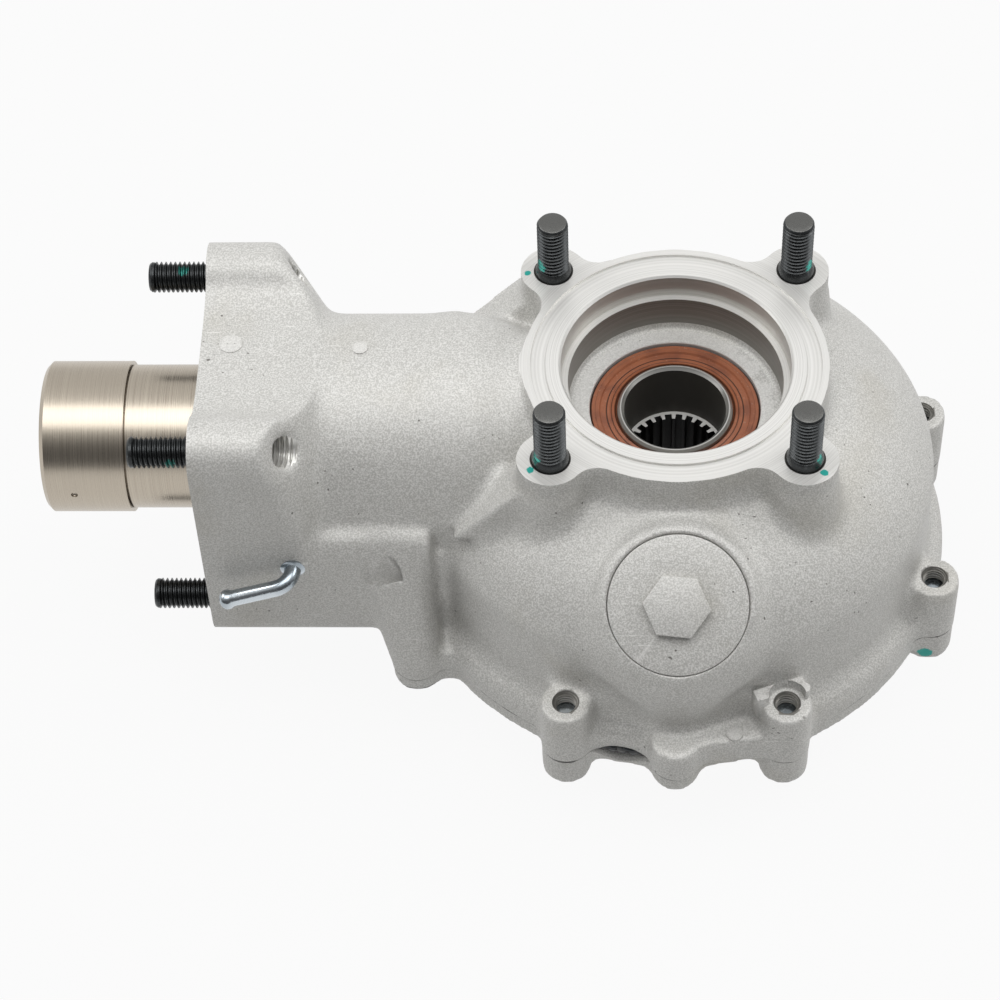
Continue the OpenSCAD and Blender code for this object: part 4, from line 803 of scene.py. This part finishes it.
# which faces the tools have cut, with the slot of their finish
far = 1000
caseTests = [
    (1, faceTest(2, s["axleFace"], 1)),
    (1, faceTest(2, s["joint"], -1)),
    (1, roundTest(35.9, 46, 27.4, far)),
    (1, roundTest(0, 36.3, s["registerFloor"] - 0.02, s["registerFloor"] + 0.02)),
    (4, roundTest(s["registerRadius"] - 0.1, s["registerRadius"] + 0.1, 27.6, 35.3)),
    (1, roundTest(27, 31.1, -22, 4.6)),
    (1, roundTest(0, 27.6, 4, 14.19)),
    # the recess wall takes the darker copy of machined aluminium, painted shade
    (3, roundTest(33.8, 34.1, 16.5, 27.45)),
    (2, faceTest(0, s["pinionFace"], -1)),
    (2, roundTest(30.9, 32.6, -far, -76, axis=0)),
]
# the ejector marks and the bar stay cast, but with crisp edges
for x, y, radius, low in [(-140, 4.5, 3.72, 37), (-99.2, 3, 2.47, 37), (18.4, -88.9, 2.62, -40.5),
                          (40, -80.6, 1.82, -30)]:
    caseTests.append((5, roundTest(0, radius, low, low + 5, (x, y))))
caseTests.append((5, lambda c, n: ((np.abs(c[:, 0] - 32.4) < 9.5) & (np.abs(c[:, 1] + 81) < 6)
                                   & (np.abs(c[:, 2] + 26.3) < 0.02) & (n[:, 2] > 0.99))))
# the holes take the darker copy of machined aluminium, painted shade
for p in holePlaces:
    hole, top = (6.4, 36.1) if p in studPlaces else (4.4, -29.9) if p in lugPlaces else (4.4, -37)
    caseTests.append((3, roundTest(0, hole, -far, top, p)))
for y in (-s["pinionStud"], s["pinionStud"]):
    for z in (-s["pinionStud"], s["pinionStud"]):
        caseTests.append((2, roundTest(0, 5.1, -far, -117, (y, z), axis=0)))

mesh = caseMesh()
shadeCasting(mesh, caseTests)
caseCasting = newObject("caseCasting", mesh, "housing",
                        [cast, milled, milledFlange, shadedBoreWall, registerWall, cast])
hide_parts("main_case")
print("case machined:", len(mesh.polygons), "faces")


coverSizes = {
    "face": -84.0,
    "joint": -52.5,
    "registerFloor": -75.5,
    "allowance": 2.2,
    "voxelMm": 1.3,
    "evenSteps": 4,
    "innerSteps": 12,
}
coverCuts = {
    "face": [(0, -110), (95, -110), (95, -84), (0, -84)],
    "register": [(0, -86), (37, -84.6), (36.2, -83.6), (36.2, -75.5), (0, -75.5)],
    "bearing": [(0, -68.4), (28.2, -68.4), (27.25, -67), (27.25, -58), (31.05, -58), (31.05, -40), (0, -40)],
}


def boltSeat(low):
    return [(0, low - 1), (8.4, low - 1), (7.4, low), (4.3, low + 3.3), (4.3, -50), (0, -50)]


def coverMesh():
    plugs = [tube(37.5, 31, -86, -75.5), tube(47.2, 40, -86, -81), tube(32.5, 24, -67.6, -46.2)]
    plugs += [rod(5.6, -86, -64, p) for p in studPlaces]
    plugs += [rod(8.0, -65, -50.4, p, None, 48) for p in lugPlaces]
    plugs += [rod(8.0, -57, -50.4, p, None, 48) for p in sidePlaces]
    machined = [(2, coverSizes["face"], -1), (2, coverSizes["joint"], 1)]
    mesh = castFrom("side_cover", machined, plugs, coverSizes)
    cutters = [latheMesh(coverCuts["face"]), tube(120, 75.4, -52.5, -44),
               latheMesh(coverCuts["register"], 128), tube(45.8, 41, -86, -82),
               latheMesh(coverCuts["bearing"], 128)]
    cutters += [rod(5.06, -87, -65, p) for p in studPlaces]
    cutters.append(rod(12.6, 85.8, 100, (0, 0), pryNotch(-44.2), 64))
    for p in lugPlaces + sidePlaces:
        cutters.append(latheMesh(boltSeat(-65 if p in lugPlaces else -57), 48, shift(*p)))
    for cutter in cutters:
        mesh = cutAway(mesh, cutter)
    return mesh


coverTests = [
    (1, faceTest(2, coverSizes["face"], -1, 0.02, 0.9)),
    (1, faceTest(2, coverSizes["joint"], 1, 0.02, 0.9)),
    (1, roundTest(35.9, 46, -far, -75.4)),
    (1, roundTest(0, 36.3, coverSizes["registerFloor"] - 0.02, coverSizes["registerFloor"] + 0.02)),
    (1, roundTest(27, 31.1, -68.5, far)),
]
coverTests += [(1, roundTest(0, 5.1 if p in studPlaces else 4.35, -far, far, p)) for p in holePlaces]
mesh = coverMesh()
shadeCasting(mesh, coverTests)
coverCasting = newObject("coverCasting", mesh, "housing", [cast, milled])
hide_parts("side_cover")
print("cover machined:", len(mesh.polygons), "faces")


studSizes = {"radius": 5.0, "pitch": 1.5, "collar": 5.75, "seat": 18.5, "endBand": 1.7, "endDisc": 4.4,
             "axleFree": 22.4, "pinionFree": 19.4}


def studMesh(free, collared):
    # rolled stud: thread, plain band and chamfered end, and on the axle side a collar in the hole's mouth
    k = studSizes
    root = k["radius"] - 0.45
    thread = threadMesh(k["radius"], k["pitch"], -k["seat"] - 2, free + 2)
    envelope = latheMesh([(0, -k["seat"]), (root, -k["seat"]), (root, -3.2), (5.2, -3.2), (5.2, free - 1),
                          (0, free - 1)], 40)
    mesh = cutAway(thread, envelope, "INTERSECT")
    if collared:
        collar = latheMesh([(0, -3), (k["collar"], -3), (k["collar"], 1.2), (4.95, 2.6), (3.4, 3.2),
                            (0, 3.2)], 48)
        mesh = cutAway(mesh, collar, "UNION")
    end = free - k["endBand"]
    band = latheMesh([(0, end - 0.9), (3.6, end - 0.9), (4.75, end), (4.85, free - 0.75),
                      (k["endDisc"], free - 0.08), (k["endDisc"] - 0.15, free), (0, free)], 48)
    return cutAway(mesh, band, "UNION")


def studSet(name, node, free, collared, places):
    one = studMesh(free, collared)
    bm = bmesh.new()
    for place in places:
        copy = one.copy()
        copy.transform(place)
        bm.from_mesh(copy)
        bpy.data.meshes.remove(copy)
    bpy.data.meshes.remove(one)
    smoothShade(bm, 38)
    obj = newObject(name, toMesh(bm, name), "housing", [phosphate])
    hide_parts(node)


# no two studs have come to rest at the same turn
studSet("axleStudThreads", "axle_flange_studs", studSizes["axleFree"], True,
        [shift(x, y, s["axleFace"]) @ Matrix.Rotation(x + y, 4, "Z") for x, y in studPlaces])
studSet("pinionStudThreads", "pinion_flange_studs", studSizes["pinionFree"], False,
        [towardsPinion @ shift(x * s["pinionStud"], y * s["pinionStud"], -s["pinionFace"])
         @ Matrix.Rotation(x + 2 * y, 4, "Z") for x in (-1, 1) for y in (-1, 1)])
print("studs threaded")


def bevelled(name, node, body, material, widthMm):
    # a CAD piece with its edges broken, as the real one's are
    bm = nodeCopy(node)
    bmesh.ops.dissolve_limit(bm, angle_limit=math.radians(1), verts=bm.verts, edges=bm.edges)
    edges = [e for e in bm.edges if e.is_manifold and e.calc_face_angle(0) > math.radians(25)]
    bmesh.ops.bevel(bm, geom=edges, offset=widthMm * mm, affect="EDGES", segments=2, profile=0.5, material=-1,
                    clamp_overlap=True)
    smoothShade(bm, 32)
    obj = newObject(name, toMesh(bm, name), body, [material])
    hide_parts(node)


capSizes = {"radius": 21.7, "thick": 4.0, "threadRadius": 16.9, "hexFlats": 18.3, "hexHeight": 3.0,
            "hexTurn": -6, "hexShift": (-0.5, -0.35), "hexEdge": 0.3}


def fillerCap():
    # cast cap: a flat disc flush in its seat with a low hexagon on it, a little off its middle
    k = capSizes
    disc = latheMesh([(0, -16), (16.2, -16), (k["threadRadius"], -15.2), (k["threadRadius"], -k["thick"]),
                      (k["radius"], -k["thick"]), (k["radius"], -0.55), (k["radius"] - 0.14, -0.16),
                      (k["radius"] - 0.5, 0), (0, 0)], 128)
    corner = k["hexFlats"] / 2 / math.cos(math.pi / 6) * mm
    bm = bmesh.new()
    bmesh.ops.create_cone(bm, cap_ends=True, segments=6, radius1=corner, radius2=corner,
                          depth=(k["hexHeight"] + 1) * mm)
    bmesh.ops.translate(bm, verts=bm.verts, vec=(0, 0, (k["hexHeight"] - 1) / 2 * mm))
    edges = [e for e in bm.edges if max(v.co.z for v in e.verts) > 0]
    bmesh.ops.bevel(bm, geom=edges, offset=k["hexEdge"] * mm, affect="EDGES", segments=3, profile=0.5,
                    material=-1)
    bmesh.ops.rotate(bm, verts=bm.verts, matrix=Matrix.Rotation(math.radians(30 + k["hexTurn"]), 3, "Z"))
    bmesh.ops.translate(bm, verts=bm.verts, vec=shift(*k["hexShift"]).translation)
    mesh = cutAway(disc, toMesh(bm, "hexagon"), "UNION")
    mesh.transform(capFrame())
    bm = bmesh.new()
    bm.from_mesh(mesh)
    smoothShade(bm, 24)
    bm.to_mesh(mesh)
    bm.free()
    obj = newObject("fillerCapCasting", mesh, "housing", [cast])
    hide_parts("oil_filler_cap")


def sweep(name, path, radii, body, material, around=20):
    # a round bar along a path: points and radii in mm
    bm = bmesh.new()
    points = [Vector(p) * mm for p in path]
    rings = []
    for k, (p, r) in enumerate(zip(points, radii)):
        along = (points[min(k + 1, len(points) - 1)] - points[max(k - 1, 0)]).normalized()
        side = along.cross(Vector((0, 0, 1))).normalized()
        up = side.cross(along)
        rings.append([bm.verts.new(p + r * mm * (math.cos(t) * side + math.sin(t) * up))
                      for t in [2 * math.pi * j / around for j in range(around)]])
    for low, high in zip(rings, rings[1:]):
        for j in range(around):
            i = (j + 1) % around
            bm.faces.new((low[j], low[i], high[i], high[j]))
    ends = [bm.faces.new(rings[0]), bm.faces.new(rings[-1])]
    bmesh.ops.recalc_face_normals(bm, faces=bm.faces)
    smoothShade(bm, 50)
    for face in ends:
        face.smooth = False
    return newObject(name, toMesh(bm, name), body, [material])


breatherSizes = {
    "seat": (-121.0, -47.2, -7.6),
    "bend": 5.6,
    "radius": 2.6,
    "drop": 20,
    # collar at the wall: how far out, and radius
    "collar": [(-3, 3.4), (0, 3.7), (0.3, 3.95), (1.1, 3.95), (1.3, 3.6), (1.6, 2.7)],
    # bead and rounded nose at the free end: how far along, and radius
    "nose": [(7, 2.6), (20.4, 2.6), (21, 2.8), (21.6, 3.15), (22.8, 3.2), (23.7, 2.8), (24.3, 2.0),
             (24.6, 1.0)],
}


def breather():
    # bent vent tube: collar at the wall, an elbow, and a bead and rounded nose at the free end
    k = breatherSizes
    seat = Vector(k["seat"])
    drop = math.radians(k["drop"])
    path = [seat + Vector((0, -out, 0)) for out, r in k["collar"]]
    radii = [r for out, r in k["collar"]]
    elbow = 1.8
    for step in range(1, 9):
        t = math.pi / 2 * step / 8
        out = k["bend"] * (1 - math.cos(t))
        along = elbow + k["bend"] * math.sin(t)
        path.append(seat + Vector((-out * math.cos(drop), -along, -out * math.sin(drop))))
        radii.append(k["radius"])
    for length, r in k["nose"]:
        path.append(seat + Vector((-length * math.cos(drop), -elbow - k["bend"], -length * math.sin(drop))))
        radii.append(r)
    obj = sweep("breatherPipe", path, radii, "housing", zinc, 28)
    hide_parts("breather_tube")


beadSizes = {"radius": 86.9, "height": -52.1, "thick": 2.1, "from": -108.2, "turn": 14.4, "steps": 24}


def sealingBead():
    # a bead of sealing paste pressed out of the joint, seen in the pry notch
    k = beadSizes
    path, radii = [], []
    for step in range(k["steps"] + 1):
        a = math.radians(k["from"] + k["turn"] * step / k["steps"])
        wave = 0.25 * math.sin(2.3 * step) + 0.2 * math.sin(1.1 * step + 1)
        r = k["radius"] + 0.4 * wave
        side = abs(step - 12) / 12
        path.append((r * math.cos(a), r * math.sin(a), k["height"] + wave - 0.9 * side))
        radii.append(k["thick"] - 0.5 * side ** 3 + 0.2 * math.sin(1.7 * step))
    sweep("sealingBead", path, radii, "housing", beadPaste)


fillerCap()
breather()
sealingBead()
bevelled("coverBoltSet", "cover_bolts", "housing", zinc, 0.3)
bevelled("drainPlug", "drain_bolt", "housing", zinc, 0.4)
print("small pieces made")

finishes = {
    "cover_gasket": paste, "dowel_pins": zinc, "axle_seal_upper": brownSeal, "axle_seal_lower": brownSeal,
    "splined_hub": hubSteel, "ring_gear": gearSteel, "ring_gear_bolts": gearSteel, "pinion_shaft": gearSteel,
    "pinion_inner_spacer": shaftSteel, "pinion_outer_spacer": shaftSteel, "pinion_lock_ring": shaftSteel,
    "pinion_seal": blackSeal, "coupling_hub": nickel, "coupling_sleeve": nickel, "pinion_washer": zinc,
    "pinion_nut": zinc, "filler_cap_oring": blackSeal, "drain_washer": copper,
}
for name, obj in nodes.items():
    if obj.hide_render:
        continue
    obj.data.materials.clear()
    obj.data.materials.append(finishes.get(name, bearingSteel))
print("finishes set")

# plain pale floor that shows white, and keeps the object's shadow
floorMaterial = bpy.data.materials.new("paleFloor")
floorMaterial.use_nodes = True
tree = floorMaterial.node_tree
tree.nodes.clear()
path = addNode(tree, "LightPath")
seen = addNode(tree, "Math", {0: path.outputs["Is Camera Ray"], 1: path.outputs["Is Glossy Ray"]},
               operation="MAXIMUM")
seen = addNode(tree, "Math", {0: seen, 1: path.outputs["Is Transmission Ray"]}, operation="MAXIMUM")
share = addNode(tree, "Math", {0: seen, 1: 0.93}, operation="MULTIPLY")
matt = addNode(tree, "BsdfDiffuse", {"Color": linear("#ABABAA")})
glow = addNode(tree, "Emission", {"Color": (1, 1, 1, 1), "Strength": 1.0})
both = addNode(tree, "MixShader", {0: share, 1: matt, 2: glow})
addNode(tree, "OutputMaterial", {"Surface": both})
bm = bmesh.new()
bmesh.ops.create_grid(bm, x_segments=1, y_segments=1, size=8)
bmesh.ops.translate(bm, verts=bm.verts, vec=(0, 0, cadBox[0][2] - 0.0002))
floor = bpy.data.objects.new("floor", toMesh(bm, "floor"))
floor.data.materials.append(floorMaterial)
bpy.context.scene.collection.objects.link(floor)

# a white tent behind and above the object, open to the darker room in front
world = bpy.data.worlds.new("studio")
bpy.context.scene.world = world
world.use_nodes = True
tree = world.node_tree
tree.nodes.clear()
direction = addNode(tree, "TexCoord").outputs["Generated"]
facing = addNode(tree, "VectorMath", {0: direction, 1: (0, 0.8, 0.6)}, operation="DOT_PRODUCT")
tent = addNode(tree, "MapRange", {0: facing, 1: -0.36, 2: 0.42}, **smooth)
sky = layered(tree, linear("#6C6C6D"), [(tent, 1, "#F2F2F2")])
background = addNode(tree, "Background", {"Color": sky, "Strength": 0.88})
addNode(tree, "OutputWorld", {"Surface": background})

# soft boxes: place, aim, size in metres and watts
softBoxes = {
    "topBox": ((-0.06, -0.22, 1.38), (-0.06, 0, 0), (1.3, 0.85), 8.4),
    "leftBox": ((-1.05, 0.25, 0.95), (-0.05, 0, 0), (0.7, 0.7), 4.4),
    "rightBox": ((0.95, 0.25, 0.95), (-0.05, 0, 0), (0.7, 0.7), 4.4),
}
for name, (place, target, size, watts) in softBoxes.items():
    data = bpy.data.lights.new(name, "AREA")
    data.shape = "RECTANGLE"
    data.size, data.size_y = size
    data.energy = watts
    lamp = bpy.data.objects.new(name, data)
    lamp.location = place
    lamp.rotation_euler = (Vector(target) - Vector(place)).to_track_quat("-Z", "Y").to_euler()
    bpy.context.scene.collection.objects.link(lamp)

cameraSizes = {"azimuth": 3.619, "elevation": 51.697, "roll": -2.875, "distance": 972.075, "lens": 110.1144,
               "target": (-55.662, -26.532, 0.0)}
c = cameraSizes
azimuth, elevation, roll = [math.radians(c[k]) for k in ("azimuth", "elevation", "roll")]
level = math.cos(elevation)
back = Vector((math.sin(azimuth) * level, -math.cos(azimuth) * level, math.sin(elevation)))
right = (-back).cross(Vector((0, 0, 1))).normalized()
up = right.cross(-back)
cameraRight = math.cos(roll) * right + math.sin(roll) * up
cameraUp = -math.sin(roll) * right + math.cos(roll) * up
cameraData = bpy.data.cameras.new("photoCamera")
cameraData.lens = c["lens"]
cameraData.sensor_width = 36
cameraData.clip_start = 0.01
camera = bpy.data.objects.new("photoCamera", cameraData)
turn = Matrix((cameraRight, cameraUp, back)).transposed().to_4x4()
camera.matrix_world = Matrix.Translation((Vector(c["target"]) + back * c["distance"]) * mm) @ turn
bpy.context.scene.collection.objects.link(camera)
bpy.context.scene.camera = camera
bpy.context.scene.view_settings.view_transform = "Standard"
print("studio ready")
